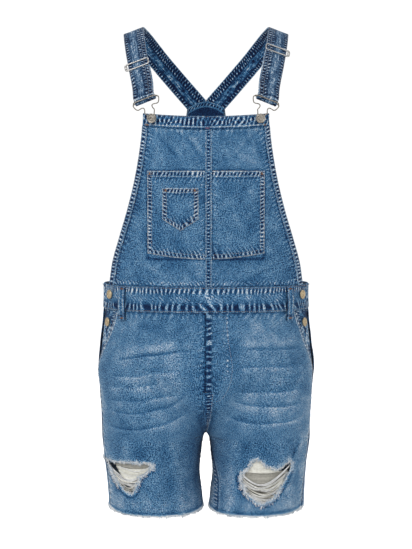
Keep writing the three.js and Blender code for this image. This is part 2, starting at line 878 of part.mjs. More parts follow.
// The middle line of a strap's underside: it turns round the hook's bar and runs back up to the slider.
function strapPath(slider) {
  const stations = strapStations.map((row) => vec(row.x, row.y, row.z));
  const { out, down } = hookFrame;
  const turnRadius = wireRadius + gap + 0.2;
  const barFront = hookMiddlePoint.clone().addScaledVector(out, turnRadius);
  stations.push(barFront.clone().addScaledVector(down, -8));
  stations.push(barFront);
  const spine = new THREE.CatmullRomCurve3(stations, false, "centripetal");
  const acrossAt = new THREE.CatmullRomCurve3(
    [...strapStations.map((row) => vec(...row.across)), hookFrame.across, hookFrame.across],
    false,
    "centripetal",
  );
  const frames = [];
  for (let i = 0; i <= strapSteps; i++) {
    const share = i / strapSteps;
    const tangent = spine.getTangent(share);
    const across = acrossAt.getPoint(share);
    across.addScaledVector(tangent, -across.dot(tangent)).normalize();
    const normal = across.clone().cross(tangent).normalize();
    frames.push({ point: spine.getPoint(share), across, normal });
  }
  const outward = frames[strapSteps].normal.dot(out) < 0 ? -1 : 1;
  frames.forEach((frame) => frame.normal.multiplyScalar(outward));
  const turnSteps = 6;
  for (let i = 1; i < turnSteps; i++) {
    const turn = (i / turnSteps) * Math.PI;
    const normal = out.clone().multiplyScalar(Math.cos(turn)).addScaledVector(down, Math.sin(turn));
    frames.push({
      point: hookMiddlePoint.clone().addScaledVector(normal, turnRadius),
      across: hookFrame.across.clone(),
      normal,
    });
  }
  for (let i = strapSteps; i > 0; i--) {
    const ahead = frames[i];
    if (ahead.point.z > slider.z - 4) break;
    const off = mix(2 * turnRadius, 2 * gap, ease((strapSteps - i) / 2));
    frames.push({
      point: ahead.point.clone().addScaledVector(ahead.normal, -off),
      across: ahead.across.clone(),
      normal: ahead.normal.clone().negate(),
    });
  }
  return frames;
}

function strapSolid(frames, side) {
  const columns = 2;
  const under = [];
  const over = [];
  frames.forEach(({ point, across, normal }) => {
    for (let i = 0; i <= columns; i++) {
      const place = point.clone().addScaledVector(across, (i / columns - 0.5) * strapWidth);
      const top = place.clone().addScaledVector(normal, strapWall);
      under.push(vec(side * place.x, place.y, place.z));
      over.push(vec(side * top.x, top.y, top.z));
    }
  });
  return closedGrid(under, over, columns, frames.length - 1);
}

const boxAt = (size, place) =>
  new THREE.BoxGeometry(...size).translate(place[0], place[1], place[2]);

function addStraps() {
  for (const slider of sliders) {
    const { side } = slider;
    const name = side > 0 ? "left" : "right";
    const frames = strapPath(slider);
    const strap = strapSolid(frames, side);
    const overMiddle = boxAt([60, 60, 90], [side * (-30 + gap), 117, -140]);
    const belowYoke = boxAt([200, 40, 30], [0, 117, yokeFacing.bottom + 10]);
    const trimmed = cutBy(cutBy(strap, overMiddle), belowYoke);
    add(`strap_${name}`, trimmed, "denim");
    addHook(side, name);
    addSlider(slider, name, frames);
  }
}

function addHook(side, name) {
  const { across, down, out } = hookFrame;
  const place = (sideways, drop) => {
    const lean = -1.2 * ease(drop / hookDrop);
    const point = hookMiddlePoint
      .clone()
      .addScaledVector(across, sideways)
      .addScaledVector(down, drop)
      .addScaledVector(out, lean);
    return vec(side * point.x, point.y, point.z);
  };
  const armSide = hookOutline.map((row) => place(row.out, row.drop));
  const neckSide = hookOutline
    .slice(0, -1)
    .reverse()
    .map((row) => place(-row.out, row.drop));
  const outline = [...armSide, ...neckSide];
  const smooth = new THREE.CatmullRomCurve3(outline, true, "catmullrom", 0.35);
  add(`hook_${name}`, wire(smooth.getPoints(38).slice(0, -1), wireRadius, 5, true), "metal");
}

function addSlider(slider, name, frames) {
  const nearest = frames
    .slice(0, strapSteps + 1)
    .reduce((best, frame) =>
      frame.point.y < 10 && Math.abs(frame.point.z - slider.z) < Math.abs(best.point.z - slider.z)
        ? frame
        : best,
      frames[strapSteps],
    );
  const { point, across, normal } = nearest;
  const along = across.clone().cross(normal).normalize();
  const centre = point
    .clone()
    .addScaledVector(normal, strapWall + wireRadius + gap)
    .addScaledVector(across, sliderShift);
  const corners = 5;
  const ends = 3.4; // the bars' bent ends bulge away from the cloth
  const outline = [];
  for (const [sideways, upward] of [[1, 1], [-1, 1], [-1, -1], [1, -1]]) {
    for (let i = 0; i <= corners; i++) {
      const start = Math.atan2(upward, sideways) - Math.PI / 4;
      const turn = start + (i / corners) * (Math.PI / 2);
      outline.push([
        sideways * (sliderHalf - ends) + ends * Math.cos(turn),
        upward * (sliderPitch - ends) + ends * Math.sin(turn),
      ]);
    }
  }
  const ring = outline.map(([a, b]) => {
    const spot = centre.clone().addScaledVector(across, a).addScaledVector(along, b);
    return vec(slider.side * spot.x, spot.y, spot.z);
  });
  add(`slider_${name}`, wire(ring, wireRadius, 5, true), "metal");
}

// A tack button: a domed cap on a shank, standing on the cloth at a place, along its outward direction.
function button({ radius, shank }) {
  const profile = [
    [0, 0],
    [3.4, 0],
    [3.4, shank],
    [radius - 0.8, shank + 0.3],
    [radius, shank + 1.2],
    [radius - 0.6, shank + 2.4],
    [radius * 0.72, shank + 2.6],
    [radius * 0.45, shank + 3.3],
    [0, shank + 3.5],
  ].map(([r, height]) => new THREE.Vector2(r, height));
  return new THREE.LatheGeometry(profile, 12);
}

function addButton(name, sizes, foot, out) {
  const turned = button(sizes);
  turned.applyQuaternion(new THREE.Quaternion().setFromUnitVectors(vec(0, 1, 0), out));
  turned.translate(foot.x, foot.y, foot.z);
  turned.deleteAttribute("normal");
  turned.deleteAttribute("uv");
  add(name, toGeometry(toSolid(turned)), "metal");
}

// The outward direction of the body form at an angle and height.
function outFrom(degrees, z) {
  const alongRing = onBody(degrees + 0.5, z).sub(onBody(degrees - 0.5, z));
  const upward = onBody(degrees, z + 1).sub(onBody(degrees, z - 1));
  const out = alongRing.cross(upward).normalize();
  return out.dot(onBody(degrees, z).sub(axis(z))) < 0 ? out.negate() : out;
}

function addButtons() {
  for (const { side, name } of sideNames) {
    const { down, out } = hookFrame;
    const foot = hookMiddlePoint.clone().addScaledVector(down, hookDrop).addScaledVector(out, bibButton.sink);
    const flip = (v) => vec(side * v.x, v.y, v.z);
    addButton(`bib_button_${name}`, bibButton, flip(foot), flip(out));

    const places = [
      { part: "upper", z: -446, angle: -26, lift: band + gap },
      { part: "lower", z: -493, angle: -21.5, lift: facingLift + onPanel },
    ];
    for (const { part, z, angle, lift } of places) {
      const outSide = outFrom(angle, z);
      const footSide = onBody(angle, z).addScaledVector(outSide, lift);
      addButton(`side_button_${name}_${part}`, sideButton, flip(footSide), flip(outSide));
    }
  }
}

// ---------- torn edges ----------
// Undyed yarns left across a rip, rooted in a narrow strip down each of its sides.
function addRipYarns() {
  for (const { side, name } of sideNames) {
    const rip = rips[name];
    const edges = { from: straight(rip.levels, "from"), to: straight(rip.levels, "to") };
    const onLegFront = (x, z) => {
      const middle = (leg.outer(z) + leg.inner(z)) / 2;
      const half = (leg.outer(z) - leg.inner(z)) / 2;
      const c = (side * x - middle) / half;
      const inner = Math.sign(c) * Math.min(1, Math.abs(c)) ** (ovalPower / 2);
      const place = onLeg(-(Math.acos(inner) * 180) / Math.PI, z);
      return vec(side * place.x, place.y, place.z);
    };
    const top = rip.yarnTop;
    const bottom = rip.yarnBottom;
    const inwards = (edge, z) => {
      const nearby = [edges[edge](z + 2), edges[edge](z), edges[edge](z - 2)];
      return edge === "from" ? Math.max(...nearby) : Math.min(...nearby);
    };
    const strip = (edge, inward) =>
      wall({
        columns: 1,
        rows: 9,
        at: (u, v) => {
          const z = mix(top, bottom, v);
          const x = inwards(edge, z) + inward * (1 + u * yarnBacking);
          return onLegFront(rip.x + x, rip.z + z);
        },
        lift: 0.2,
        thick: yarnWall,
        toward: legAxis(side, rip.z),
      });
    const pieces = [strip("from", 1), strip("to", -1)];
    for (let i = 0; i < rip.yarns; i++) {
      const share = (i + 0.5) / rip.yarns;
      const level = mix(top, bottom, share);
      const height = i % 3 === 1 ? 2.2 : 1.3;
      pieces.push(
        wall({
          columns: 3,
          rows: 1,
          at: (u, v) => {
            const sag = 2.2 * Math.sin(Math.PI * u) * Math.sin(2.4 * i + 0.6);
            const z = level - sag * (1 - Math.abs(2 * share - 1)) + (v - 0.5) * height;
            const inset = 1 + yarnBacking / 2;
            const x = mix(inwards("from", level) + inset, inwards("to", level) - inset, u);
            return onLegFront(rip.x + x, rip.z + z);
          },
          lift: 0.35,
          thick: yarnWall - 0.3,
          toward: legAxis(side, rip.z),
        }),
      );
    }
    add(`rip_yarns_${name}`, joined(pieces), "yarn");
  }
}

// The frayed hem: a narrow strip just below the cloth, with loose locks hanging from it.
function addFray() {
  for (const { side, name } of sideNames) {
    for (const face of ["front", "back"]) {
      const sign = face === "front" ? -1 : 1;
      const at = (across, drop) => {
        const z = hemZ + hemRise(across, hemZ) - gap - drop;
        const place = onLeg(mix(sign * 180, seamAngle(hemZ), across), z);
        place.x = Math.max(place.x, gap / 2) * side;
        return place;
      };
      add(`hem_fray_${name}_${face}`, fringeWall(at, side), "yarn");
    }
  }
}

// A strip with pointed locks below it, in cells of one lock each; at(across, drop) gives its form.
function fringeWall(at, side) {
  const corners = [];
  const cells = [];
  for (let i = 0; i < frayLocks; i++) {
    const length = frayLengths[(i * 3) % frayLengths.length];
    const lean = ((i * 5) % 7) / 7 - 0.5;
    const first = corners.length;
    for (const share of [0, 0.12, 0.7]) {
      corners.push({ across: (i + share) / frayLocks, drop: 0 });
      corners.push({ across: (i + share) / frayLocks, drop: frayStrip });
    }
    corners.push({ across: (i + 0.42 + 0.4 * lean) / frayLocks, drop: frayStrip + length });
    const next = first + 7;
    for (const [a, b] of [[first, first + 2], [first + 2, first + 4], [first + 4, next]]) {
      cells.push([a, a + 1, b + 1], [a, b + 1, b]);
    }
    cells.push([first + 3, first + 6, first + 5]);
  }
  corners.push({ across: 1, drop: 0 }, { across: 1, drop: frayStrip });

  const points = [];
  for (const depth of [0.2, 1]) {
    for (const { across, drop } of corners) {
      const place = at(across, drop);
      const along = at(Math.min(1, across + 0.002), drop).sub(at(Math.max(0, across - 0.002), drop));
      const out = along.cross(vec(0, 0, 1)).normalize();
      if (out.dot(place.clone().sub(legAxis(side, place.z))) < 0) out.negate();
      points.push(place.addScaledVector(out, depth));
    }
  }
  const count = corners.length;
  const faces = [];
  const edges = new Map();
  for (const [a, b, c] of cells) {
    faces.push(a, b, c, count + a, count + c, count + b);
    for (const [from, to] of [[a, b], [b, c], [c, a]]) {
      if (!edges.delete(`${to} ${from}`)) edges.set(`${from} ${to}`, [from, to]);
    }
  }
  for (const [from, to] of edges.values()) {
    faces.push(to, from, count + from, to, count + from, count + to);
  }
  return facingOut(points, faces);
}

addLegPanels();
addHipFacings();
addFly();
addWaistbands();
addBeltLoops();
addBib();
addPockets();
addBack();
addStraps();
addButtons();
addRipYarns();
addFray();

export default garment;
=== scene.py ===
import bisect
import math
import random

import bmesh
import bpy
from mathutils import Matrix, Vector, noise


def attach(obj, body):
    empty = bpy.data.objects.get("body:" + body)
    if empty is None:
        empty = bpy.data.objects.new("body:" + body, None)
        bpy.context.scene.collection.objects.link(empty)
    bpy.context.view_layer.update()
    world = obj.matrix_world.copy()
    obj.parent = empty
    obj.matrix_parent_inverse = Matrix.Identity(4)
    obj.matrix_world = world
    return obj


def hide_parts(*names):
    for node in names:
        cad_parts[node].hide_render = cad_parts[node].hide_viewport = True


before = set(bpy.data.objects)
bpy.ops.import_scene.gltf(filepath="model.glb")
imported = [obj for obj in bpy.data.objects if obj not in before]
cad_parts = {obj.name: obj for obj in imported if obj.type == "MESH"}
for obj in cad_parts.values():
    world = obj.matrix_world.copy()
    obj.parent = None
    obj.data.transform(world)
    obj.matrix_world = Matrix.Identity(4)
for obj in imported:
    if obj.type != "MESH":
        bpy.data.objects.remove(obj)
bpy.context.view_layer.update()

print("denim dungaree shorts: the frame is in, dressing it")

# All sizes below are in millimetres, in the frame's own axes; meshes are brought to metres at the end.
# +X is the wearer's left, -Y the front, +Z up, and the shoulders are at the origin.
toMetres = 0.001

garment = {
    "denimWall": 1.4,
    "seamGap": 0.3,
    "slimmest": 10.5,  # the least width that a strip is declared with
    "ovalPower": 2.3,
}
wallSize = garment["denimWall"]
seamGap = garment["seamGap"]
onPanel = wallSize + seamGap  # lift of a piece that lies on a panel
bothSides = ((1, "left"), (-1, "right"))
trimLook = {"slot": "denim_trim", "faces": ("denimTrim", "denimBack")}


def mix(a, b, share):
    return a + (b - a) * share


def clamp01(value):
    return min(1.0, max(0.0, value))


def ease(value):
    value = clamp01(value)
    return value * value * (3 - 2 * value)


def bump(value, width):
    return math.exp(-(value / width) ** 2)


def mirrored(place, side):
    return Vector((side * place.x, place.y, place.z))


def through(rows, column):
    at = [row[0] for row in rows]
    value = [row[column] for row in rows]
    last = len(at) - 1
    slope = []
    for i in range(last + 1):
        before, after = max(0, i - 1), min(last, i + 1)
        slope.append((value[after] - value[before]) / (at[after] - at[before]))
    falling = at[0] > at[-1]

    def read(place):
        i = 0
        while i < last - 1 and (place < at[i + 1] if falling else place > at[i + 1]):
            i += 1
        span = at[i + 1] - at[i]
        t = clamp01((place - at[i]) / span)
        smooth = value[i] + (value[i + 1] - value[i]) * t * t * (3 - 2 * t)
        return smooth + span * t * (1 - t) * (slope[i] * (1 - t) - slope[i + 1] * t)

    return read


# height, half width, depth in front, depth behind
bodyRows = [
    (20, 128, 88, 96),
    (-120, 150, 110, 117),
    (-156, 158, 116, 115),
    (-200, 163, 121, 110),
    (-240, 166, 123, 104),
    (-280, 168, 122, 98),
    (-330, 170, 118, 94),
    (-380, 171, 115, 95),
    (-430, 172, 115, 100),
    (-472, 173, 116.5, 106),
    (-520, 177, 120, 119),
    (-571, 182, 122, 131),
    (-610, 179.5, 120, 136),
    (-650, 177.5, 117, 135),
    (-690, 176, 114, 127),
    (-820, 167, 102, 98),
]
# height, outer edge, inner edge, depth in front, depth behind
legRows = [
    (-560, 182, 1.8, 120, 138),
    (-684, 176, 1.8, 112.5, 123),
    (-692, 175.3, 5.4, 111, 121),
    (-720, 172, 9.4, 108, 113),
    (-755, 169, 12.4, 105, 105),
    (-790, 166.5, 8.6, 103, 100),
    (-830, 165, 4.4, 101, 97),
]
# height, angle of the side seam round the form (0 is straight out, negative is forward)
sideSeamRows = [(-430, -10), (-472, -10), (-565, -5), (-640, -12), (-700, -20), (-830, -25)]
# height, half width
bibRows = [
    (-140, 100.5), (-148, 101.5), (-197, 106), (-249, 114.5),
    (-301, 127), (-354, 143), (-392, 154), (-430, 160),
]
backRows = [(-129, 33), (-180, 40), (-240, 53), (-300, 74), (-350, 100), (-395, 133), (-430, 158)]

levels = {
    "bibTop": -147.5,
    "bibTopDip": 5.5,
    "bibBand": 21,
    "waistTop": -430,
    "waistBottom": -472,
    "frontTurn": -612,
    "seatTurn": -590,
    "crotch": -684,
    "legBlendTop": -560,
    "legBlendEnd": -705,
    "hem": -812,
    "hemSideRise": 6,
    "crotchForward": 12,
    "innerTurnReach": 0.55,
}
panelRows = {"front": (11, 11, 10), "back": (6, 7, 6)}
seamShare = 0.0001

bodyHalf, bodyFront, bodyBack = (through(bodyRows, column) for column in (1, 2, 3))
legOuter, legInner, legFront, legBack = (through(legRows, column) for column in (1, 2, 3, 4))
sideSeamAngle = through(sideSeamRows, 1)
bibHalf = through(bibRows, 1)
backHalf = through(backRows, 1)


def onOval(degrees, half, depth):
    c = math.cos(math.radians(degrees))
    s = math.sin(math.radians(degrees))
    power = 2 / garment["ovalPower"]
    return math.copysign(half * abs(c) ** power, c), math.copysign(depth * abs(s) ** power, s)


def onBody(degrees, z):
    forward = math.sin(math.radians(degrees)) < 0
    x, y = onOval(degrees, bodyHalf(z), bodyFront(z) if forward else bodyBack(z))
    return Vector((x, y, z))


def onLeg(degrees, z):
    outer, inner = legOuter(z), legInner(z)
    inward = clamp01((-math.cos(math.radians(degrees)) + 0.2) / 1.2)
    centreY = mix(0, levels["crotchForward"], inward)
    forward = math.sin(math.radians(degrees)) < 0
    depth = legFront(z) + centreY if forward else legBack(z) - centreY
    x, y = onOval(degrees, (outer - inner) / 2, depth)
    return Vector(((outer + inner) / 2 + x, centreY + y, z))


def angleAtX(x, z):
    c = math.copysign((abs(x) / bodyHalf(z)) ** (garment["ovalPower"] / 2), x)
    return math.degrees(math.acos(max(-1.0, min(1.0, c))))


def onFront(x, z):
    return onBody(-angleAtX(x, z), z)


def onBack(x, z):
    return onBody(angleAtX(x, z), z)


def trouserRow(face, t):
    upper, under, lower = panelRows[face]
    row = t * (upper + under + lower)
    startZ = levels["frontTurn"] if face == "front" else levels["seatTurn"]
    if row <= upper:
        z = mix(levels["waistBottom"] - seamGap, startZ, row / upper)
        return z, z, 0.0
    if row <= upper + under:
        turn = (row - upper) / under * math.pi / 2
        innerZ = levels["crotch"] + (startZ - levels["crotch"]) * (1 - math.sin(turn))
        return innerZ, mix(startZ, levels["crotch"], (row - upper) / under), 1 - math.cos(turn)
    z = mix(levels["crotch"], levels["hem"], (row - upper - under) / lower)
    return z, z, 1.0


def hemRise(across, z):
    down = ease((z - levels["crotch"]) / (levels["hem"] - levels["crotch"]))
    return levels["hemSideRise"] * across ** 3 * down


# across is 0 at the middle seam and the inseam, and 1 at the side seam
def onTrousers(face, across, t, side=1):
    innerZ, sideZ, innerLeg = trouserRow(face, t)
    z = mix(innerZ, sideZ, ease(across)) + hemRise(across, sideZ)
    sign = -1 if face == "front" else 1
    sideLeg = ease((sideZ - levels["legBlendTop"]) / (levels["legBlendEnd"] - levels["legBlendTop"]))
    legShare = mix(innerLeg, sideLeg, ease(across / levels["innerTurnReach"]))
    seam = sideSeamAngle(sideZ)
    legPlace = onLeg(mix(sign * 180, seam, across), z)
    inLine = math.sqrt(legShare) * (1 - ease((across - 0.45) / 0.4))
    angle = mix(mix(sign * 90, seam, across), sign * angleAtX(legPlace.x, z), inLine)
    place = onBody(angle, z).lerp(legPlace, legShare)
    place.x *= side
    return place


mouth = {"angle": -32, "depth": 108, "curve": 1.7}
# the cloth seen inside the pocket's mouth; its rows of rope have a place, a kind and a seed
facing = {
    "across": 62,
    "down": 121,
    "behind": 0.9,
    "rows": [(24, "roping", 41), (33, "second", 43), (46, "roping", 47), (57, "second", 49)],
}


# the share across a front panel at which the slash pocket's mouth leaves it open
def mouthAcross(z):
    down = clamp01((levels["waistBottom"] - z) / mouth["depth"]) ** mouth["curve"]
    seam = sideSeamAngle(levels["waistBottom"])
    return mix(1 - (seam - mouth["angle"]) / (seam + 90), 1, down)


def bibTop(x):
    return levels["bibTop"] - levels["bibTopDip"] * (1 - (x / bibHalf(levels["bibTop"])) ** 2)


def unevenness(*where):
    return noise.noise(Vector(where))


def ripple(along, away, pitch, slant, seed):
    wander = 1.0 * unevenness(along / 24, away / 30, seed)
    beat = math.sin(2 * math.pi * ((along + slant * away) / pitch + wander))
    swell = 0.9 + 0.75 * unevenness(along / 9, away / 12, seed + 7.3)
    return beat * swell


def cloud(x, z, size, seed):
    return unevenness(x / size, z / size, seed)


# the ropes that washing leaves along a seam: reach to each side, length of one twist, slant,
# how dark its hollows and how light its crests are, and how high it stands
ropes = {
    "roping": {"reach": 2.9, "pitch": 6.0, "slant": 0.25, "dark": 1.0, "light": 1.15, "height": 0.4},
    "second": {"reach": 1.8, "pitch": 6.2, "slant": 0.3, "dark": 0.35, "light": 0.8, "height": 0.25},
    "ladder": {"reach": 2.1, "pitch": 5.4, "slant": 0.1, "dark": 0.95, "light": 0.8, "height": 0.25},
    "topBand": {"reach": 8.6, "pitch": 7.0, "slant": 0.42, "dark": 0.6, "light": 0.85, "height": 0.5},
    "crossing": {"reach": 7.5, "pitch": 8.6, "slant": -0.5, "dark": 0.35, "light": 0.6, "height": 0.3},
    "waistUpper": {"reach": 4.8, "pitch": 7.2, "slant": 0.05, "dark": 0.6, "light": 0.95, "height": 0.4},
    "waistLower": {"reach": 6.4, "pitch": 10.6, "slant": -0.18, "dark": 0.8, "light": 0.6, "height": 0.5},
    "bibFoot": {"reach": 4.6, "pitch": 5.2, "slant": 0.6, "dark": 0.2, "light": 0.8, "height": 0.3},
    "pucker": {"reach": 6.0, "pitch": 6.3, "slant": 0.45, "dark": 0.25, "light": 0.5, "height": 0.45},
    "fly": {"reach": 5.0, "pitch": 11.2, "slant": -0.05, "dark": 0.85, "light": 0.4, "height": 0.4},
    "strap": {"reach": 2.1, "pitch": 5.4, "slant": 0.25, "dark": 1.0, "light": 1.15, "height": 0.3},
    "drawn": {"reach": 8.0, "pitch": 9.5, "slant": 0.3, "dark": 0.25, "light": 0.3, "height": 0.5},
}


def rope(along, away, kind, seed, share=1.0):
    look = ropes[kind]
    near = share * bump(away, look["reach"])
    if near < 0.02:
        return 0.0, 0.0
    beat = ripple(along, away, look["pitch"], look["slant"], seed)
    crest = ease((beat - 0.02) / 0.5)
    return look["height"] * near * beat, near * mix(-look["dark"], look["light"], crest)


class Relief:
    # gathers what the cloth does at one spot: height, and its wash and painted shade: ridge, fade and
    # bareness
    def __init__(self):
        self.height = self.ridge = self.fade = self.bare = 0.0

    def rope(self, *where):
        height, ridge = rope(*where)
        self.height += height
        self.ridge += ridge

    # a turned or folded edge: it rolls away, and its rim is rubbed pale
    def rim(self, toEdge, pale=0.65, width=1.1):
        self.height -= 0.5 * (1 - ease(toEdge / 1.5))
        self.ridge += pale * bump(toEdge, width)

    def read(self):
        return self.height, max(-1, min(1, self.ridge)), max(-1, min(1, self.fade)), self.bare


# a band or strip
def bandRelief(length, width, rows, seed, lengthwise=False, base=0.0, pale=(0.65, 0.65), streaks=0.0):
    # rows of rope lie at given distances from the first edge; pale is how rubbed the two edges are
    def relief(u, v, place):
        along, away = (v * length, u * width) if lengthwise else (u * length, v * width)
        spot = Relief()
        spot.rim(away, pale[0])
        spot.rim(width - away, pale[1])
        spot.ridge += base
        for i, (centre, kind) in enumerate(rows):
            spot.rope(along, away - centre, kind, seed + 5 * i)
        if streaks:
            line = max(0.0, ripple(along, away, 6.5, -1.1, seed + 40)) ** 2
            spot.ridge += streaks * line * bump(away - width * 0.47, width * 0.24) - 0.12
            # the ends are rubbed hard and cockle
            atEnd = 1 - ease((min(u, 1 - u) * length - 20) / 12)
            spot.ridge += atEnd * (1.8 * cloud(along, away, 5, seed + 9) + 0.15)
            corner = bump(away, 3) * bump(min(u, 1 - u) * length, 5)
            spot.height += atEnd * (0.9 * cloud(along, away, 9, seed + 3) + 3.2 * corner)
        spot.fade = 0.35 * cloud(along, away, 26, seed)
        return spot.read()
    return relief


pieces = {}


# closer steps towards both edges, where the seams are
def crowded(share, crowd):
    return share - crowd * math.sin(2 * math.pi * share) / (2 * math.pi)


class Cloth:
    # at(u, v) is the place of the panel's inner face; relief(u, v, place) gives the height of the outer
    # face above the plain one, and its wash and painted shade: ridge and fade from -1 to 1, and bareness from
    # 0 to 1
    def __init__(self, at, across, down, lift=0.0, wall=wallSize, relief=None, hold=None,
                 behind=(0, 0, -300), normalAt=None):
        self.at, self.across, self.down = at, across, down
        self.lift, self.wall, self.relief, self.hold = lift, wall, relief, hold
        self.behind, self.normalAt = Vector(behind), normalAt
        self.facing = 1
        self.facing = -1 if self.plainNormal(0.5, 0.5).dot(at(0.5, 0.5) - self.behind) < 0 else 1

    def plainNormal(self, u, v):
        if self.normalAt:
            return self.normalAt(u, v)
        step = 0.002
        alongU = self.at(min(1, u + step), v) - self.at(max(0, u - step), v)
        alongV = self.at(u, min(1, v + step)) - self.at(u, max(0, v - step))
        return alongU.cross(alongV).normalized() * self.facing

    def liftAt(self, u, v):
        return self.lift(u, v) if callable(self.lift) else self.lift

    def surface(self, u, v, proud=0.0):
        place = self.at(u, v)
        normal = self.plainNormal(u, v)
        return place + normal * (self.liftAt(u, v) + self.wall + self.relief(u, v, place)[0] + proud), normal

    def build(self, name, nodes, cell, slot="denim", faces=("denim", "denimBack"), trim=None, flat=None,
              held="hung", restsOn=(), crowd=0.0, shift=None):
        bm = bmesh.new()
        uvLayer = bm.loops.layers.uv.new("cloth")
        washAndShadeLayer = bm.verts.layers.float_color.new("wash")
        bmesh.ops.create_grid(bm, x_segments=max(2, round(self.across / cell[0])),
                              y_segments=max(2, round(self.down / cell[1])), size=0.5)
        spots = {vert: (crowded(vert.co.x + 0.5, crowd), 0.5 - vert.co.y) for vert in bm.verts}
        shiftU, shiftV = shift or (0.37 * len(pieces),) * 2
        for face in bm.faces:
            for loop in face.loops:
                u, v = spots[loop.vert]
                loop[uvLayer].uv = (u * self.across * toMetres + shiftU, -v * self.down * toMetres + shiftV)
        for vert, (u, v) in spots.items():
            vert.co = self.at(u, v)
        bm.normal_update()
        outward = sum(vert.normal.dot(vert.co - self.behind) for vert in bm.verts)
        if outward < 0 and not self.normalAt:
            bmesh.ops.reverse_faces(bm, faces=bm.faces[:])
            bm.normal_update()
        normals = {vert: self.normalAt(*spots[vert]) if self.normalAt else vert.normal.copy()
                   for vert in bm.verts}
        for vert, (u, v) in spots.items():
            height, ridge, fade, bare = self.relief(u, v, vert.co)
            vert[washAndShadeLayer] = (0.5 + 0.5 * ridge, 0.5 + 0.5 * fade, bare, 1)
            vert.co += normals[vert] * (self.liftAt(u, v) + self.wall + height)
            if self.hold:
                self.hold(vert.co)
        if trim:
            trim(bm)
        bmesh.ops.scale(bm, vec=(toMetres,) * 3, verts=bm.verts[:])
        piece = finishMesh(name, bm, faces)
        solid = piece.modifiers.new("wall", "SOLIDIFY")
        solid.thickness = self.wall * toMetres
        solid.offset = -1
        solid.material_offset = len(faces) - 1
        declare(piece, nodes)
        width, length = flat or (self.across, self.down)
        width, length = max(garment["slimmest"], width) * toMetres, length * toMetres
        area = sum(polygon.area for polygon in piece.data.polygons)
        min(width * length, max(0.31 * width * length, area))
        pieces[name] = self


def finishMesh(name, bm, looks):
    for face in bm.faces:
        face.smooth = True
    mesh = bpy.data.meshes.new(name)
    bm.to_mesh(mesh)
    bm.free()
    for look in looks:
        mesh.materials.append(material(look))
    piece = bpy.data.objects.new(name, mesh)
    bpy.context.scene.collection.objects.link(piece)
    return piece


def declare(piece, nodes):
    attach(piece, "root")
    if nodes:
        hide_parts(*nodes)


def linear(hexColour):
    parts = [int(hexColour[i:i + 2], 16) / 255 for i in (0, 2, 4)]
    return tuple(c / 12.92 if c <= 0.04045 else ((c + 0.055) / 1.055) ** 2.4 for c in parts) + (1,)


class Reading:
    # a node's output that takes part in plain sums
    def __init__(self, shader, socket):
        self.shader, self.socket = shader, socket

    def maths(self, operation, first, second):
        return self.shader.add("ShaderNodeMath", {"operation": operation}, {0: first, 1: second})

    def __add__(self, other):
        return self.maths("ADD", self, other)

    def __radd__(self, other):
        return self.maths("ADD", other, self)

    def __sub__(self, other):
        return self.maths("SUBTRACT", self, other)

    def __rsub__(self, other):
        return self.maths("SUBTRACT", other, self)

    def __mul__(self, other):
        return self.maths("MULTIPLY", self, other)

    def __rmul__(self, other):
        return self.maths("MULTIPLY", other, self)

    def atMost(self, other):
        return self.maths("MINIMUM", self, other)


class Shader:
    def __init__(self, name):
        self.material = bpy.data.materials.new(name)
        self.material.use_nodes = True
        self.nodes = self.material.node_tree.nodes
        self.links = self.material.node_tree.links
        self.nodes.clear()

    def add(self, kind, settings=None, values=None, output=0):
        node = self.nodes.new(kind)
        for setting, value in (settings or {}).items():
            if setting == "stops":
                ramp = node.color_ramp
                while len(ramp.elements) > 1:
                    ramp.elements.remove(ramp.elements[-1])
                for i, (place, colour) in enumerate(value):
                    element = ramp.elements[0] if i == 0 else ramp.elements.new(place)
                    element.position = place
                    element.color = linear(colour) if isinstance(colour, str) else colour
            else:
                setattr(node, setting, value)
        for socket, value in (values or {}).items():
            if isinstance(value, Reading):
                self.links.new(value.socket, node.inputs[socket])
            else:
                node.inputs[socket].default_value = value
        return Reading(self, node.outputs[output]) if node.outputs else None

    def noise(self, place, scale, detail, roughness=0.5, flat=False):
        return self.add("ShaderNodeTexNoise", {"noise_dimensions": "2D" if flat else "3D"},
                        {"Vector": place, "Scale": scale, "Detail": detail, "Roughness": roughness})

    def laid(self, place, scale, turn=0.0):
        return self.add("ShaderNodeMapping", {"vector_type": "POINT"},
                        {"Vector": place, "Rotation": (0, 0, math.radians(turn)), "Scale": (*scale, 1)})

    def objectPlace(self):
        return self.add("ShaderNodeTexCoord", output=3)

    def colours(self, share, stops):
        return self.add("ShaderNodeValToRGB", {"stops": stops}, {"Fac": share})

    def rough(self, height, strength, distance):
        return self.add("ShaderNodeBump", None,
                        {"Height": height, "Strength": strength, "Distance": distance})

    def finish(self, values):
        surface = self.add("ShaderNodeBsdfPrincipled", None, values)
        self.add("ShaderNodeOutputMaterial", None, {"Surface": surface})
        return self.material


denimLook = {
    # lightness to colour, from raw indigo in the creases to bare weft
    "stops": [
        (0.0, "091b3e"), (0.2, "1a4370"), (0.42, "346c9a"), (0.6, "568db8"),
        (0.8, "8ab1ce"), (1.0, "e8edef"),
    ],
    "speckle": 2.95,
    "streaks": 0.75,
    "palest": 0.3,
    "clouds": 0.34,
    "fade": 0.26,
    "twill": 0.05,
    "twillPitch": 0.00085,
    "twillTurn": 32,
}


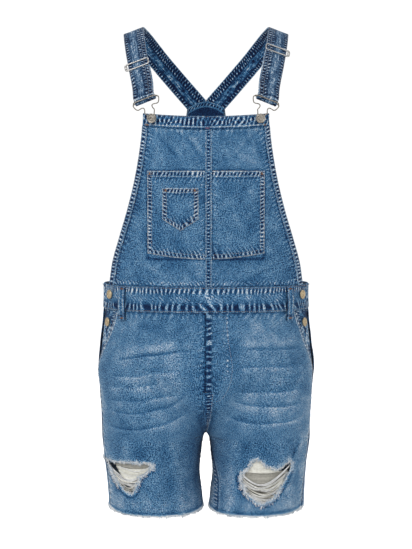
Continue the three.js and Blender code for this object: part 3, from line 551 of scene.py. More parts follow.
def denimShader(name, level, ridgeGain, speckle=1.0, stops=None):
    shader = Shader(name)
    uv = shader.add("ShaderNodeUVMap", {"uv_map": "cloth"})
    wash = shader.add("ShaderNodeAttribute", {"attribute_name": "wash"})
    ridge, fade, bare = (shader.add("ShaderNodeSeparateColor", None, {"Color": wash}, i) for i in range(3))
    grain, warp, weft, patches = (
        shader.noise(shader.laid(uv, scale), 1.0, detail, 0.65, flat=True)
        for scale, detail in (((780, 540), 2.0), ((900, 95), 1.0), ((120, 900), 1.0), ((36, 26), 3.0)))
    twill = shader.add("ShaderNodeTexWave", {"wave_type": "BANDS", "bands_direction": "X"},
                       {"Vector": shader.laid(uv, (1, 1), denimLook["twillTurn"]),
                        "Scale": 0.314 / denimLook["twillPitch"], "Distortion": 0.6,
                        "Detail": 1.0, "Detail Scale": 1.4})
    mottle = (grain - 0.5) * (denimLook["speckle"] * speckle)
    streaks = ((warp - 0.5) + (weft - 0.5) * 0.4) * (denimLook["streaks"] * speckle)
    # faded tips are many but never quite white
    mottle = (mottle + streaks).atMost(denimLook["palest"])
    # ridge and fade carry rubbed wear, and also painted shade in creases and under raised edges, and painted
    # highlight on swells
    wornAndShaded = (ridge - 0.5) * (2 * ridgeGain) * (0.7 + 0.6 * grain)
    lightness = (level + wornAndShaded + (fade - 0.5) * (2 * denimLook["fade"]) + mottle
                 + (patches - 0.5) * denimLook["clouds"] + (twill - 0.5) * denimLook["twill"])
    lightness = lightness + bare * (0.85 - lightness * 0.7)
    colour = shader.colours(lightness, stops or denimLook["stops"])
    normal = shader.rough(twill * 0.5 + warp * 0.35 + weft * 0.25 + grain * 0.5, 0.55, 0.00035)
    return shader.finish({"Base Color": colour, "Roughness": 0.92, "Normal": normal,
                          "Specular IOR Level": 0.12, "Sheen Weight": 0.06, "Sheen Roughness": 0.6})


# the reverse of the cloth
backStops = [
    (0.0, "1d3450"), (0.3, "4d6a88"), (0.55, "7d95ac"), (0.8, "a9bac8"), (1.0, "d3dae0"),
]
# the straps are washed greyer than the legs
strapStops = [
    (0.0, "0d1b38"), (0.2, "203f63"), (0.42, "456a8e"), (0.6, "6787a6"), (0.8, "98b2c8"), (1.0, "ecf0f2"),
]
# deep inside the legs the reverse is painted darker: painted shade for the shadow inside the legs
legShadeStops = [
    (0.0, "0b1420"), (0.3, "1c2a39"), (0.55, "304152"), (0.8, "4c5e70"), (1.0, "7b8a99"),
]


def threadShader(name, dark, light):
    shader = Shader(name)
    place = shader.objectPlace()
    strand = shader.noise(place, 260.0, 2.0, 0.6)
    fibre = shader.noise(place, 2600.0, 1.0)
    lightness = (strand - 0.5) * 1.6 + (fibre - 0.5) * 0.5 + 0.5
    return shader.finish({"Base Color": shader.colours(lightness, [(0.15, dark), (0.85, light)]),
                          "Roughness": 0.75, "Normal": shader.rough(fibre, 0.4, 0.0001),
                          "Specular IOR Level": 0.2, "Sheen Weight": 0.1})


def metalShader(name, dark, light, roughness):
    shader = Shader(name)
    place = shader.objectPlace()
    tarnish = shader.noise(place, 420.0, 4.0, 0.65)
    brushed = shader.noise(place, 3800.0, 1.0)
    return shader.finish({"Base Color": shader.colours(tarnish, [(0.3, dark), (0.62, light)]),
                          "Metallic": 0.9, "Roughness": roughness + (tarnish - 0.5) * 0.35,
                          "Normal": shader.rough(brushed + tarnish * 0.6, 0.25, 0.0001)})


looks = {
    # name, lightness, how strongly ridges show, how speckled, and the colours where they differ
    denimShader: {
        "denim": ("washedDenim", 0.452, 0.5),
        "denimBib": ("washedDenimBib", 0.42, 0.5),
        "denimTrim": ("ropedDenim", 0.412, 0.56, 0.9),
        "denimStrap": ("strapDenim", 0.325, 0.6, 0.75, strapStops),
        "denimStrapInner": ("strapDenimInside", 0.2, 0.95, 0.7),
        # a very dark denim, used for the inside of the yoke
        "denimDark": ("unfadedDenim", 0.13, 0.6, 0.5),
        "denimBack": ("denimReverse", 0.45, 0.12, 1.0, backStops),
        "legInside": ("legReverse", 0.4, 0.12, 1.0, legShadeStops),
    },
    # name, dark and light colour
    threadShader: {
        "tanThread": ("tanTopstitch", "7d6a58", "bda78d"),
        "paleThread": ("paleTopstitch", "8f9296", "c9cac8"),
        "rust": ("rustBartack", "6a4c3e", "9c7862"),
        "plum": ("plumBartack", "5f4c6c", "8a7392"),
        "yarn": ("undyedYarn", "dcdedf", "ffffff"),
        "creamYarn": ("creamYarn", "e6e4d9", "fffff8"),
        # a darker copy of the yarn colour: painted shade for the sheet that lies in the tear's shadow
        "shadedYarn": ("dustyYarn", "b0aea6", "cbc9c0"),
        # darker still: painted shade for the sheet behind the lower strands, and for some strands
        "dimYarn": ("dimYarn", "86847c", "b4b1a8"),
        "hemYarn": ("hemYarn", "dfe2e6", "ffffff"),
        "blueYarn": ("indigoYarn", "7f9bb4", "c6d5e2"),
    },
    # name, dark and light colour, roughness
    metalShader: {
        "nickel": ("antiqueNickel", "5f5a54", "bfb9af", 0.4),
        "silver": ("paleNickel", "a5a3a0", "dedddb", 0.35),
        "brass": ("dullBrass", "a08a68", "ead8b6", 0.5),
    },
}
made = {}


def material(look):
    if look not in made:
        made[look] = next(maker(*kinds[look]) for maker, kinds in looks.items() if look in kinds)
    return made[look]


print("materials are ready")


stitching = {"length": 2.6, "gap": 0.8, "radius": 0.42, "proud": 0.12}
stitchRows = {}


def sew(group, clothName, corners, pitch=None, thick=1.0):
    # corners are (u, v) spots on a piece; the row runs straight between them
    stitchRows.setdefault(group, []).append((pieces[clothName], corners, pitch, thick))


def line(u0, v0, u1, v1, steps=1):
    return [(mix(u0, u1, i / steps), mix(v0, v1, i / steps)) for i in range(steps + 1)]


def layStitches(group, look, rows):
    bm = bmesh.new()
    length, radius = stitching["length"], stitching["radius"]
    for cloth, corners, pitch, thick in rows:
        pitch = pitch or length + stitching["gap"]
        dense = []
        for (u0, v0), (u1, v1) in zip(corners, corners[1:]):
            steps = max(2, round(math.hypot((u1 - u0) * cloth.across, (v1 - v0) * cloth.down) / 4))
            dense += line(u0, v0, u1, v1, steps)[:None if (u1, v1) == corners[-1] else -1]
        spots = [cloth.surface(u, v, stitching["proud"]) for u, v in dense]
        travelled, nextAt = 0.0, pitch / 2
        for (a, normalA), (b, normalB) in zip(spots, spots[1:]):
            run = (b - a).length
            while run > 1e-6 and nextAt <= travelled + run:
                share = (nextAt - travelled) / run
                along = (b - a).normalized()
                normal = normalA.lerp(normalB, share).normalized()
                across = normal.cross(along).normalized()
                turn = Matrix((along, across, along.cross(across))).transposed().to_4x4()
                size = Matrix.Diagonal((length * 0.5 * pitch / 3.4, radius * thick, radius * 0.75 * thick, 1))
                bmesh.ops.create_icosphere(bm, subdivisions=1, radius=1,
                                           matrix=Matrix.Translation(a.lerp(b, share)) @ turn @ size)
                nextAt += pitch
            travelled += run
    bmesh.ops.scale(bm, vec=(toMetres,) * 3, verts=bm.verts[:])
    declare(finishMesh(group, bm, [look]), ())


# creases that sitting has set across the thighs: each is rubbed pale under it, and painted shade darkens it
# along its line, in the crease's hollow
whiskers = [
    # x and z along the line; how pale under it, how much painted shade on it, how pale above it
    ([(-152, -555), (-101, -544), (-72, -540), (-17, -533)], 0.35, 1.3, 0.75),
    ([(-108, -568), (-84, -567), (-60, -563)], 0.0, 0.6, 0.0),
    ([(-164, -581), (-119, -578), (-94, -573), (-68, -570.5), (-33, -565)], 0.85, 0.5, 0.0),
    ([(-169, -598), (-121, -596), (-94, -592), (-70, -586)], 0.75, 0.6, 0.0),
    ([(-167, -620.5), (-119, -619), (-94, -615), (-65, -609), (-42, -606)], 0.9, 0.6, 0.0),
    ([(-169, -634), (-136, -640), (-105, -638), (-79, -631), (-54, -624.5), (-24, -600)], 0.75, 0.9, 0.0),
    ([(-170, -661), (-141, -666), (-108, -665), (-79, -659), (-54, -650), (-26, -636)], 0.95, 0.8, 0.0),
    ([(52, -532), (90, -533), (125, -533), (160, -535)], 0.4, 0.9, 0.7),
    ([(40, -562), (90, -561), (130, -562), (169, -563)], 0.8, 0.6, 0.0),
    ([(108, -579), (136, -582), (166, -581)], 0.6, 0.3, 0.0),
    ([(40, -601), (70, -603), (120, -603), (168, -601)], 0.85, 0.7, 0.0),
    ([(40, -610), (55, -620), (82, -626), (119, -627), (146, -627), (163, -624)], 0.75, 0.8, 0.0),
    ([(26, -640), (55, -650), (82, -655), (109, -655), (137, -653), (163, -645)], 0.95, 0.7, 0.0),
]
whiskerLines = [(path[0][0], path[-1][0], through(path, 1), *wear) for path, *wear in whiskers]


def whiskerAt(x, z):
    height = wash = 0.0
    for start, end, lineAt, light, dark, above in whiskerLines:
        if not start < x < end:
            continue
        share = (x - start) / (end - start)
        off = z - lineAt(x) - 1.6 * unevenness(x / 30, start / 9, 3.7)
        if not -30 < off < 24:
            continue
        uneven = 0.85 + 0.5 * unevenness(x / 26, start / 5, 8.1)
        taper = ease(4 * share * (1 - share) * 1.5) * uneven
        under = ease((0.4 - off) / 2.2) * math.exp(min(0.0, off) / 9)
        over = math.exp(-max(0.0, off - 0.6) / (2.2 if above else 4.0)) * ease((off + 1.6) / 1.8)
        # the dark term along the line is painted shade; the pale terms are rubbed wear
        wash += taper * (light * under - dark * over + above * bump(off - 10, 7))
        height += taper * (1.1 * light * bump(off + 5, 6) + 0.9 * above * bump(off - 8, 6)
                           - 1.0 * dark * bump(off - 1, 2.6))
    return height, wash


frontLeg = {
    "across": 262,
    # slack folds of the leg: x of the fold, its lean, its depth
    "folds": [(52, 0.12, 1.3), (128, -0.1, 1.0)],
    "crease": {"x": (139, 154), "from": -720, "run": 32, "middle": -703, "bottom": -724, "top": -682},
}


def frontLegRelief(side):
    def relief(u, v, place):
        x, z = place.x, place.z
        spot = Relief()
        _, sideZ, innerLeg = trouserRow("front", v)
        fromMiddle = u * frontLeg["across"]
        fromSide = mouthAcross(sideZ) * (1 - u) * frontLeg["across"]
        fromWaist = levels["waistBottom"] - z
        fromHem = z - levels["hem"] - hemRise(u, z)
        atMouth = 1 - ease((levels["waistBottom"] - mouth["depth"] - sideZ) / 12)
        height, wash = whiskerAt(x, z)
        spot.height += height
        spot.ridge += 0.03 * wash
        spot.fade += wash * (0.62 if wash > 0 else 0.9)
        # the pocket mouth: a turned edge with two rows of stitches
        if atMouth > 0:
            spot.rim(fromSide, 0.9 * atMouth, 1.4)
            spot.rope(z, fromSide - 5.2, "roping", 9.4 + side, atMouth)
            spot.ridge += atMouth * (0.8 * bump(fromSide - 9.6, 1.3) - 0.3 * bump(fromSide - 12.5, 1.5))
        spot.rope(z, fromSide - 6, "drawn", 11.4 + side, 1 - atMouth)
        spot.ridge += (1 - atMouth) * (0.5 * bump(fromSide - 3, 1.6) - 0.9 * bump(fromSide, 1.6))
        # seams draw the cloth into small puckers beside them
        spot.rope(x, fromWaist - 4, "drawn", 5.7, 0.8)
        # painted shadow: a dark line just under the waistband's lower edge
        spot.ridge -= 0.55 * bump(fromWaist, 3.0)
        if side < 0:
            # painted shade: a dark thin line in the crease beside the fly
            spot.ridge -= 0.6 * bump(fromMiddle, 2.2) * (1 - innerLeg)
        spot.rope(z, fromMiddle - 5, "drawn", 3.1 + side, 0.7)
        spot.rope(z, fromMiddle - 4, "roping", 17.3 + side, innerLeg * 0.8)
        spot.ridge += innerLeg * (0.4 * bump(fromMiddle - 9, 2.5) - 0.4 * bump(fromMiddle, 2))
        if side > 0:
            off = (x - legInner(z)) - 14 * ease((-690 - z) / 110)
            turned = innerLeg * ease((-688 - z) / 14) * (1 if off < 16 else 0)
            spot.rope(z, off + 4, "roping", 19.3, 0.9 * turned)
            spot.ridge += turned * (0.5 * bump(off - 1.6, 1.2) - 0.9 * bump(off, 1.3) + 0.3 * ease(-off / 3))
            # the fly's J-shaped rows show as a rubbed line on the wearer's left
            bend = ease((-560 - z) / 44)
            lineX = mix(35, 9, bend ** 2)
            inFly = ease((z + 612) / 10)
            spot.rope(z, x - lineX, "second", 15.2, 0.8 * inFly)
            spot.rope(z, x - lineX + 6, "second", 15.9, 0.5 * inFly)
            spot.height += 0.35 * inFly * ease((lineX - x) / 2)
        # a short crease runs up beside the left tear
        crease = frontLeg["crease"]
        if side > 0 and crease["bottom"] < z < crease["top"]:
            off = x - mix(*crease["x"], (z - crease["from"]) / crease["run"])
            far = z - crease["middle"]
            # painted shade darkens the crease's hollow
            spot.ridge -= 0.45 * bump(off, 2.4) * bump(far, 16)
            spot.height -= 0.9 * bump(off, 3.0) * bump(far, 16)
            spot.fade += 0.5 * bump(off - 7, 6) * bump(far, 22)
        # the torn upper lip stands away from the leg at the wearer's right side
        if side < 0:
            spot.height += 2.4 * ease((z + 721) / 1.5) * bump(z + 717, 9) * ease((-x - 132) / 30)
        # the cloth hangs in broad soft swells
        spot.height += 1.8 * cloud(x, z, 70, 2.2 + side) * ease(fromWaist / 60) * ease(fromMiddle / 30)
        spot.height += 0.6 * cloud(x, z, 24, 8.1)
        for foldX, lean, deep in frontLeg["folds"]:
            off = side * x - foldX - lean * (z + 690)
            reach = ease((-662 - z) / 40)
            spot.height += deep * reach * (bump(off, 13) - bump(off - 17, 9))
            # painted highlight on each fold's swell and painted shade in its hollow
            spot.ridge += 0.14 * deep * reach * (bump(off, 9) - bump(off - 15, 7))
        # a groove runs up each side of the crotch
        groove = bump(fromMiddle - 7 - 0.25 * max(0, -628 - z), 9)
        groove = groove * ease((-600 - z) / 60) * (1 - innerLeg * 0.6)
        spot.height -= 1.0 * groove
        # painted shade in the groove
        spot.ridge -= 0.35 * groove
        spot.fade += 0.2 * bump(abs(x) - 98, 60) * bump(z + 603, 82)
        spot.fade += 0.75 * bump(fromSide, 26) * ease((-530 - z) / 60)
        spot.fade -= 0.45 * bump(fromMiddle, 30) * ease((-520 - z) / 80)
        spot.fade += 0.42 * cloud(x, z, 42, 4.4) + 0.25 * cloud(x, z, 15, 6.4)
        spot.fade -= 0.4 * bump(z + 705, 24) * bump(abs(x) - 84, 60)
        spot.fade += 0.35 * bump(fromHem - 18, 24)
        spot.ridge -= 0.45 * bump(fromHem - 4.5, 2.6)
        spot.bare = 0.95 * bump(max(0.0, fromHem - 1.5 * unevenness(x / 5, 0, 7)), 2.0)
        return spot.read()
    return relief


rips = {
    "right": {
        "middle": (-124, -744),
        # the torn edge, from the side seam along the upper lip and back round underneath
        "outline": [(-42, 21), (-34, 21.5), (-20, 23), (0, 24.5), (16, 23.5), (31, 24), (35, 20), (33, 13),
                    (24, 6), (15, -2), (12, -13), (6, -26), (1, -33), (-5, -30), (-15, -24), (-23, -15),
                    (-30, -4), (-36, 8)],
        # sheets of slack yarns behind, some in finishes painted darker as shade: from height, to height, left
        # ends at both, right end, depth, finish
        "sheets": [(24, 13, (-30, -26), 40, 4.6, "shadedYarn"), (14, -7, (-27, -13), 40, 2.0, "creamYarn")],
        # bundles that sag across: yarns, bundles, their left ends, right ends and lowest points
        "sweeps": [
            (40, 6, ((-36, 11), (-14, -24)), ((17, 1), (5, -27)), ((-8, -5), (-5, -31))),
            (9, 2, ((-20, 15), (-17, 6)), ((34, 16), (24, 6)), ((5, 9), (3, 0))),
        ],
    },
    "left": {
        "middle": (101, -755),
        "outline": [(-30, 27), (-26, 37), (-18, 41), (-10, 38), (-3, 30), (7, 26.5), (15, 24.5), (25, 27),
                    (32, 33), (38, 37), (41, 30), (38, 17), (31, 4), (22, -10), (13, -22), (6, -31),
                    (-8, -36), (-20, -31), (-31, -22), (-40, -8), (-44, 3), (-43, 14), (-37, 22)],
        # the last sheet, in the deep shade finish, is painted shade behind the lower strands
        "sheets": [(40, 26, (-40, -40), 2, 0.9, "creamYarn"), (27, 18, (-40, -40), 20, 1.8, "creamYarn"),
                   (19, -5, (-50, -50), 34, 6.0, "shadedYarn"), (-5, -36, (-44, -12), 24, 6.5, "dimYarn")],
        "sweeps": [
            (44, 7, ((-42, 16), (-38, -17)), ((38, 29), (16, -20)), ((-6, -1), (-4, -35))),
            (16, 4, ((-36, 4), (-24, -25)), ((30, 4), (10, -26)), ((2, -12), (-4, -34))),
        ],
    },
}


def ripOutline(name):
    # the edge is torn yarn by yarn, so it is nowhere straight
    middleX, middleZ = rips[name]["middle"]
    outline = rips[name]["outline"]
    corners = []
    for (x0, z0), (x1, z1) in zip(outline, outline[1:] + outline[:1]):
        steps = max(1, round(math.hypot(x1 - x0, z1 - z0) / 2.2))
        for i in range(steps):
            x, z = mix(x0, x1, i / steps), mix(z0, z1, i / steps)
            torn = 1 + 0.09 * unevenness(x / 3.1, z / 3.1, 4.4)
            corners.append((middleX + x * torn, middleZ + z * torn))
    return corners


def inside(corners, x, z):
    crossings = False
    for (x0, z0), (x1, z1) in zip(corners, corners[1:] + corners[:1]):
        if (z0 > z) != (z1 > z) and x < x0 + (x1 - x0) * (z - z0) / (z1 - z0):
            crossings = not crossings
    return crossings


def nearestOn(corners, x, z):
    best = None
    for (x0, z0), (x1, z1) in zip(corners, corners[1:] + corners[:1]):
        run = (x1 - x0) ** 2 + (z1 - z0) ** 2
        share = clamp01(((x - x0) * (x1 - x0) + (z - z0) * (z1 - z0)) / run)
        nearX, nearZ = mix(x0, x1, share), mix(z0, z1, share)
        far = math.hypot(x - nearX, z - nearZ)
        if best is None or far < best[0]:
            best = (far, nearX, nearZ)
    return best


def tearOut(name):
    corners = ripOutline(name)

    def trim(bm):
        washAndShadeLayer = bm.verts.layers.float_color["wash"]
        bm.normal_update()
        inner = [face for face in bm.faces
                 if inside(corners, face.calc_center_median().x, face.calc_center_median().z)]
        bmesh.ops.delete(bm, geom=inner, context="FACES")
        low = min(z for _, z in corners) - 9
        high = max(z for _, z in corners) + 9
        for vert in bm.verts:
            if not low < vert.co.z < high:
                continue
            far, nearX, nearZ = nearestOn(corners, vert.co.x, vert.co.z)
            if far < 9:
                wash = vert[washAndShadeLayer]
                wash.z = max(wash.z, 0.9 * bump(far, max(0.4, 1.0 + 2.6 * noise.noise(vert.co / 2.6))))
                wash.x = min(1, wash.x + 0.12 * bump(far - 2.5, 3.5) * (1 + 1.5 * noise.noise(vert.co / 3)))
                # painted shadow on the cloth just outside the lower torn edge, under the fringe
                if vert.co.z < (low + high) / 2 + 14:
                    wash.x = max(0, wash.x - 0.4 * bump(far - 4.5, 2.5))
                vert[washAndShadeLayer] = wash
            if vert.is_boundary and far < 4:
                slideX, slideZ = nearX - vert.co.x, nearZ - vert.co.z
                normal = vert.normal
                slideY = -(normal.x * slideX + normal.z * slideZ) / normal.y if abs(normal.y) > 0.25 else 0
                vert.co += Vector((slideX, slideY, slideZ))
    return trim


def holdSide(side):
    def hold(place):
        place.x = side * max(side * place.x, 0.02)
    return hold


legFaces = ("denim", "legInside")
legDrop, backLegAcross = 345, 300.0
# height and depth of the folds under the seat, and of the creases in the small of the back, whose hollows get
# painted shade
seatFolds = [(-664, 2.4), (-690, 1.8), (-640, 1.0)]
backCreases = [(-372, 1.8), (-398, 1.4), (-346, 1.0), (-322, 0.6)]


def backLegRelief(side):
    def relief(u, v, place):
        x, z = place.x, place.z
        spot = Relief()
        fromMiddle, fromSide = u * backLegAcross, (1 - u) * backLegAcross
        fromWaist = levels["waistBottom"] - z
        fromHem = z - levels["hem"] - hemRise(u, z)
        _, _, innerLeg = trouserRow("back", v)
        spot.rope(z, fromMiddle - 4, "roping" if side > 0 else "pucker", 21.1, 0.8 * (1 - innerLeg))
        spot.rope(z, fromMiddle - 5, "drawn", 23.1 + side, 0.9)
        spot.rope(z, fromSide - 5, "roping", 33.4 + side, 0.75)
        spot.ridge += 0.35 * bump(fromSide - 10, 2.5) - 0.8 * bump(fromSide, 1.8)
        spot.rope(x, fromWaist - 4, "drawn", 25.7, 0.8)
        # painted shadow: a dark line just under the waistband's lower edge
        spot.ridge -= 0.55 * bump(fromWaist, 3.0)
        spot.height += 1.7 * cloud(x, z, 66, 12.2 + side) * ease(fromWaist / 60) * ease(fromMiddle / 30)
        spot.height += 0.6 * cloud(x, z, 24, 18.1)
        # slack folds under the seat, with painted shade in each hollow and a painted highlight on the swell
        # above it
        for foldZ, depth in seatFolds:
            line = foldZ + 18 * ease(fromMiddle / 170) - 4 + 4 * unevenness(x / 40, foldZ, 2)
            reach = bump(fromMiddle - 72, 78)
            spot.height += depth * reach * (0.5 * bump(z - line - 13, 9) - bump(z - line, 7))
            spot.ridge += 0.2 * depth * reach * (bump(z - line - 11, 6) - bump(z - line, 4))
        spot.fade += 0.9 * bump(abs(x) - 88, 58) * bump(z + 580, 60) + 0.5 * cloud(x, z, 40, 14.4)
        spot.fade -= 0.45 * bump(fromMiddle, 24)
        spot.fade += 0.3 * bump(fromHem - 14, 16)
        spot.ridge -= 0.25 * bump(fromHem - 5, 3)
        spot.bare = 0.95 * bump(max(0.0, fromHem - 1.5 * unevenness(x / 5, 9, 7)), 2.4)
        return spot.read()
    return relief


# a narrow doubled strip with one row of rope along it
def layStrip(name, node, at, width, length, row, seed, wall, restsOn, cell=(1.0, 1.3), lift=onPanel,
             behind=(0, 0, -300), base=-0.1, pale=(0.55, 0.6)):
    relief = bandRelief(length, width, [row], seed, lengthwise=True, base=base, pale=pale)
    strip = Cloth(at, width, length, lift=lift, wall=wall, behind=behind, relief=relief)
    strip.build(name, [node], cell, restsOn=restsOn, **trimLook)


def makeTrousers():
    for side, name in bothSides:
        def frontAt(u, v, side=side):
            sideZ = trouserRow("front", v)[1]
            return onTrousers("front", mix(seamShare, 1 - 6 * seamShare, u * mouthAcross(sideZ)), v, side)

        def backAt(u, v, side=side):
            return onTrousers("back", mix(seamShare, 1 - 6 * seamShare, u), v, side)

        form = {"hold": holdSide(side), "behind": (side * 88, 0, -640)}
        front = Cloth(frontAt, frontLeg["across"], legDrop, relief=frontLegRelief(side), **form)
        front.build(f"legFront_{name}", [f"front_leg_{name}"], (2.3, 1.75), trim=tearOut(name), crowd=0.4,
                    restsOn=["waistbandFront"], flat=(290, legDrop), faces=legFaces)
        back = Cloth(backAt, backLegAcross, legDrop, relief=backLegRelief(side), **form)
        back.build(f"legBack_{name}", [f"back_leg_{name}"], (2.9, 2.3), crowd=0.5,
                   restsOn=["waistbandBack"], flat=(330, legDrop), faces=legFaces)

        def facingAt(u, v, side=side):
            z = mix(levels["waistBottom"] - seamGap, levels["waistBottom"] - mouth["depth"] - 14, v)
            seam = sideSeamAngle(z)
            start = mix(-90, seam, mouthAcross(z)) - 8
            place = onBody(mix(start, seam - 0.4, u), z)
            place.x *= side
            return place

        def facingRelief(u, v, place):
            spot = Relief()
            for row, kind, seed in facing["rows"]:
                spot.rope(place.z, u * facing["across"] - row, kind, seed)
            spot.ridge += 1.3 * cloud(place.y, place.z, 8, 3.3)
            # darker patches, and a darker band across the facing
            darkPatches = ease((-0.12 + cloud(place.y, place.z, 11, 8.3)) * 5)
            spot.ridge -= 1.2 * bump(u * facing["across"] - 15, 5) + 1.6 * darkPatches
            spot.fade = 0.45
            spot.height *= 0.5
            return spot.read()

        inner = Cloth(facingAt, facing["across"], facing["down"], lift=-onPanel - facing["behind"],
                      relief=facingRelief, behind=(0, 0, -520))
        inner.build(f"hipFacing_{name}", [f"hip_facing_{name}"], (1.6, 1.8),
                    restsOn=[f"legFront_{name}"], **trimLook)


# ends are angles round the body; front and back are the lengths of the two parts
waistband = {
    "frontEnd": -10,
    "backEnd": -42,
    "depth": 42,
    "wall": 2.2,
    "front": 478,
    "back": 640,
    "rows": [(7.2, "waistUpper"), (33.5, "waistLower")],
    "rubbed": {"pale": (0.1, 0.6), "streaks": 0.85},
}
# across and down are the loop's cloth laid flat
beltLoop = {
    "x": 136.5,
    "width": 10.8,
    "top": -432,
    "bottom": -487.5,
    "lift": 2.5,
    "bulge": 2.4,
    "across": 13,
    "down": 56,
}


def makeWaist():
    depth, wall = waistband["depth"], waistband["wall"]

    def frontAt(u, v):
        return onBody(mix(-180 - waistband["frontEnd"], waistband["frontEnd"], u),
                      mix(levels["waistTop"], levels["waistBottom"], v))

    def bandOf(at, length, seed, lift=0.0):
        relief = bandRelief(length, depth, waistband["rows"], seed, **waistband["rubbed"])
        return Cloth(at, length, depth, lift=lift, wall=wall, behind=(0, 0, -450), relief=relief)

    band = bandOf(frontAt, waistband["front"], 51)
    band.build("waistbandFront", ["waistband_front"], (1.35, 1.25), held="stretched",
               restsOn=["waistbandBack"], **trimLook)

    reach = 90 - waistband["backEnd"]

    def backAt(u, v):
        return onBody(90 + mix(reach, -reach, u), mix(levels["waistTop"], levels["waistBottom"], v))

    def sink(u, v):
        degrees = 90 - abs(mix(-reach, reach, u))
        return -(wall + seamGap) * (1 - ease((degrees - waistband["frontEnd"] - 1) / 9))

    band = bandOf(backAt, waistband["back"], 57, sink)
    band.build("waistbandBack", ["waistband_back"], (1.6, 1.4), **trimLook, held="stretched")

    for side, name in bothSides:
        def loopAt(u, v, side=side):
            place = onFront(beltLoop["x"] + (u - 0.5) * beltLoop["width"],
                            mix(beltLoop["top"], beltLoop["bottom"], v))
            place.x *= side
            return place

        def loopLift(u, v):
            bulge = beltLoop["bulge"] * math.sin(math.pi * v) ** 0.6 if 0 < v < 1 else 0
            return beltLoop["lift"] + bulge

        def loopRelief(u, v, place):
            away, along = u * beltLoop["across"], v * beltLoop["down"]
            toEdge = min(away, beltLoop["across"] - away)
            spot = Relief()
            spot.rim(toEdge, -0.8, 0.7)
            spot.ridge += 0.25 * bump(toEdge - 2.6, 1.3) - 0.1 - 0.5 * bump(away - 6.5, 1.2)
            spot.ridge += 0.5 * cloud(away * 2, along, 5, 61 + side)
            spot.rope(along, away - 6.5, "second", 63, 0.3)
            spot.ridge -= 0.7 * bump(along - 2.5, 1.2) + 0.7 * bump(along - 48, 1.5)
            spot.fade = 0.45
            return spot.read()

        strip = Cloth(loopAt, beltLoop["across"], beltLoop["down"], lift=loopLift, wall=1.8,
                      relief=loopRelief, behind=(0, 0, -460))
        strip.build(f"beltLoop_{name}", [f"belt_loop_{name}"], (1.0, 1.3),
                    restsOn=["waistbandFront"], **trimLook)


# the lap's edges and foot; the rise seam's start, and its edges as shares across a front panel
fly = {"lap": (-0.1, 10), "foot": -601, "riseStart": -602, "rise": (-0.012, 0.036)}


def makeFly():
    def lapAt(u, v):
        return onFront(mix(*fly["lap"], u), mix(levels["waistBottom"] - seamGap, fly["foot"], v))

    layStrip("flyLap", "fly_lap", lapAt, 10, 129, (5.2, "fly"), 71, 1.4, ["legFront_left"],
             behind=(0, 0, -530), base=0.0, pale=(-0.32, 0.15))
    upper, under, lower = panelRows["front"]
    waist = levels["waistBottom"]
    startRow = upper * ((fly["riseStart"] - waist) / (levels["frontTurn"] - waist))
    endRow = upper + under - 1

    def riseAt(u, v):
        return onTrousers("front", mix(*fly["rise"], u), mix(startRow, endRow, v) / (upper + under + lower))

    layStrip("frontRiseSeam", "front_rise_seam", riseAt, 9.5, 150, (4.6, "ladder"), 77, 1.0,
             ["legFront_left"], lift=onPanel + 0.4, behind=(40, 0, -630), base=-0.25, pale=(0.3, 0.55))


def onBib(across, down, inset=0.0):
    bottom = levels["waistTop"] + seamGap
    roughZ = mix(levels["bibTop"], bottom, down)
    x = across * (bibHalf(roughZ) - inset)
    return onFront(x, mix(bibTop(x), bottom, down))


bibDrags = [
    # soft creases that pull from the buttons and the centre seam, with painted shade in them and painted
    # highlight beside: x, z to x, z, depth, on which side
    (88, -174, 40, -226, 1.1, 0), (76, -172, 94, -236, 0.8, 0), (58, -172, 20, -200, 0.6, 0),
    (34, -184, 5, -226, 1.5, -1), (66, -186, 44, -222, 0.8, -1), (30, -196, 60, -232, 0.7, 1),
    (120, -392, 60, -424, 0.8, 0), (40, -392, 8, -426, 0.7, 0), (108, -290, 98, -352, 0.7, 0),
]


def bibRelief(side):
    def relief(u, v, place):
        x, z = abs(place.x), place.z
        spot = Relief()
        fromTop, fromWaist = bibTop(place.x) - levels["bibBand"] - z, z - levels["waistTop"]
        fromEdge = bibHalf(z) - x
        spot.rope(place.x, fromTop - 3, "drawn", 81, 0.6)
        # painted shadow: a dark line right under the top band's edge
        spot.ridge += 0.2 * bump(fromTop - 2.5, 3) - 0.4 * bump(fromTop, 1.2)
        spot.rope(-abs(place.x), fromWaist - 5, "bibFoot", 83)
        # painted shadow: a dark line just above the waistband
        spot.ridge -= 0.35 * bump(fromWaist, 2)
        spot.rope(z, fromEdge - 12, "pucker", 85 + side, 0.8)
        # painted shadow: a dark line beside the binding's inner edge
        spot.ridge -= 0.45 * bump(fromEdge - 9, 1.6)
        spot.rope(z, x - 12, "pucker", 87 + side, 0.6 if side > 0 else 0.4)
        spot.height += 1.1 * cloud(place.x, z, 62, 31) + 0.4 * cloud(place.x, z, 20, 36)
        for startX, startZ, endX, endZ, deep, only in bibDrags:
            if only and only != side:
                continue
            runX, runZ = endX - startX, endZ - startZ
            share = ((x - startX) * runX + (z - startZ) * runZ) / (runX ** 2 + runZ ** 2)
            if -0.1 < share < 1.1:
                off = ((x - startX) * runZ - (z - startZ) * runX) / math.hypot(runX, runZ)
                shade = math.sin(math.pi * clamp01(share)) ** 0.7 * deep
                spot.height -= 1.2 * shade * bump(off, 5)
                # painted shade in the crease and painted highlight beside it
                spot.ridge += 0.13 * shade * (bump(off - 7, 5) - 1.4 * bump(off, 3.2))
        spot.fade = 0.25 * bump(x - 60, 34) * bump(fromTop - 28, 26) + 0.5 * cloud(place.x, z, 34, 33)
        spot.fade += 0.25 * cloud(place.x, z, 13, 39)
        spot.fade -= 0.4 * bump(fromEdge - 10, 7) + 0.3 * bump(fromWaist, 12)
        # a darker frame round the patch pocket: unfaded cloth, and painted shadow beside its raised edge
        if abs(z - (pocket["top"] + pocket["middle"]) / 2) < 90:
            outX = x - pocket["half"]
            spot.ridge -= 0.7 * bump(max(outX, z - pocket["top"], pocket["middle"] - z), 2.2)
        return spot.read()
    return relief


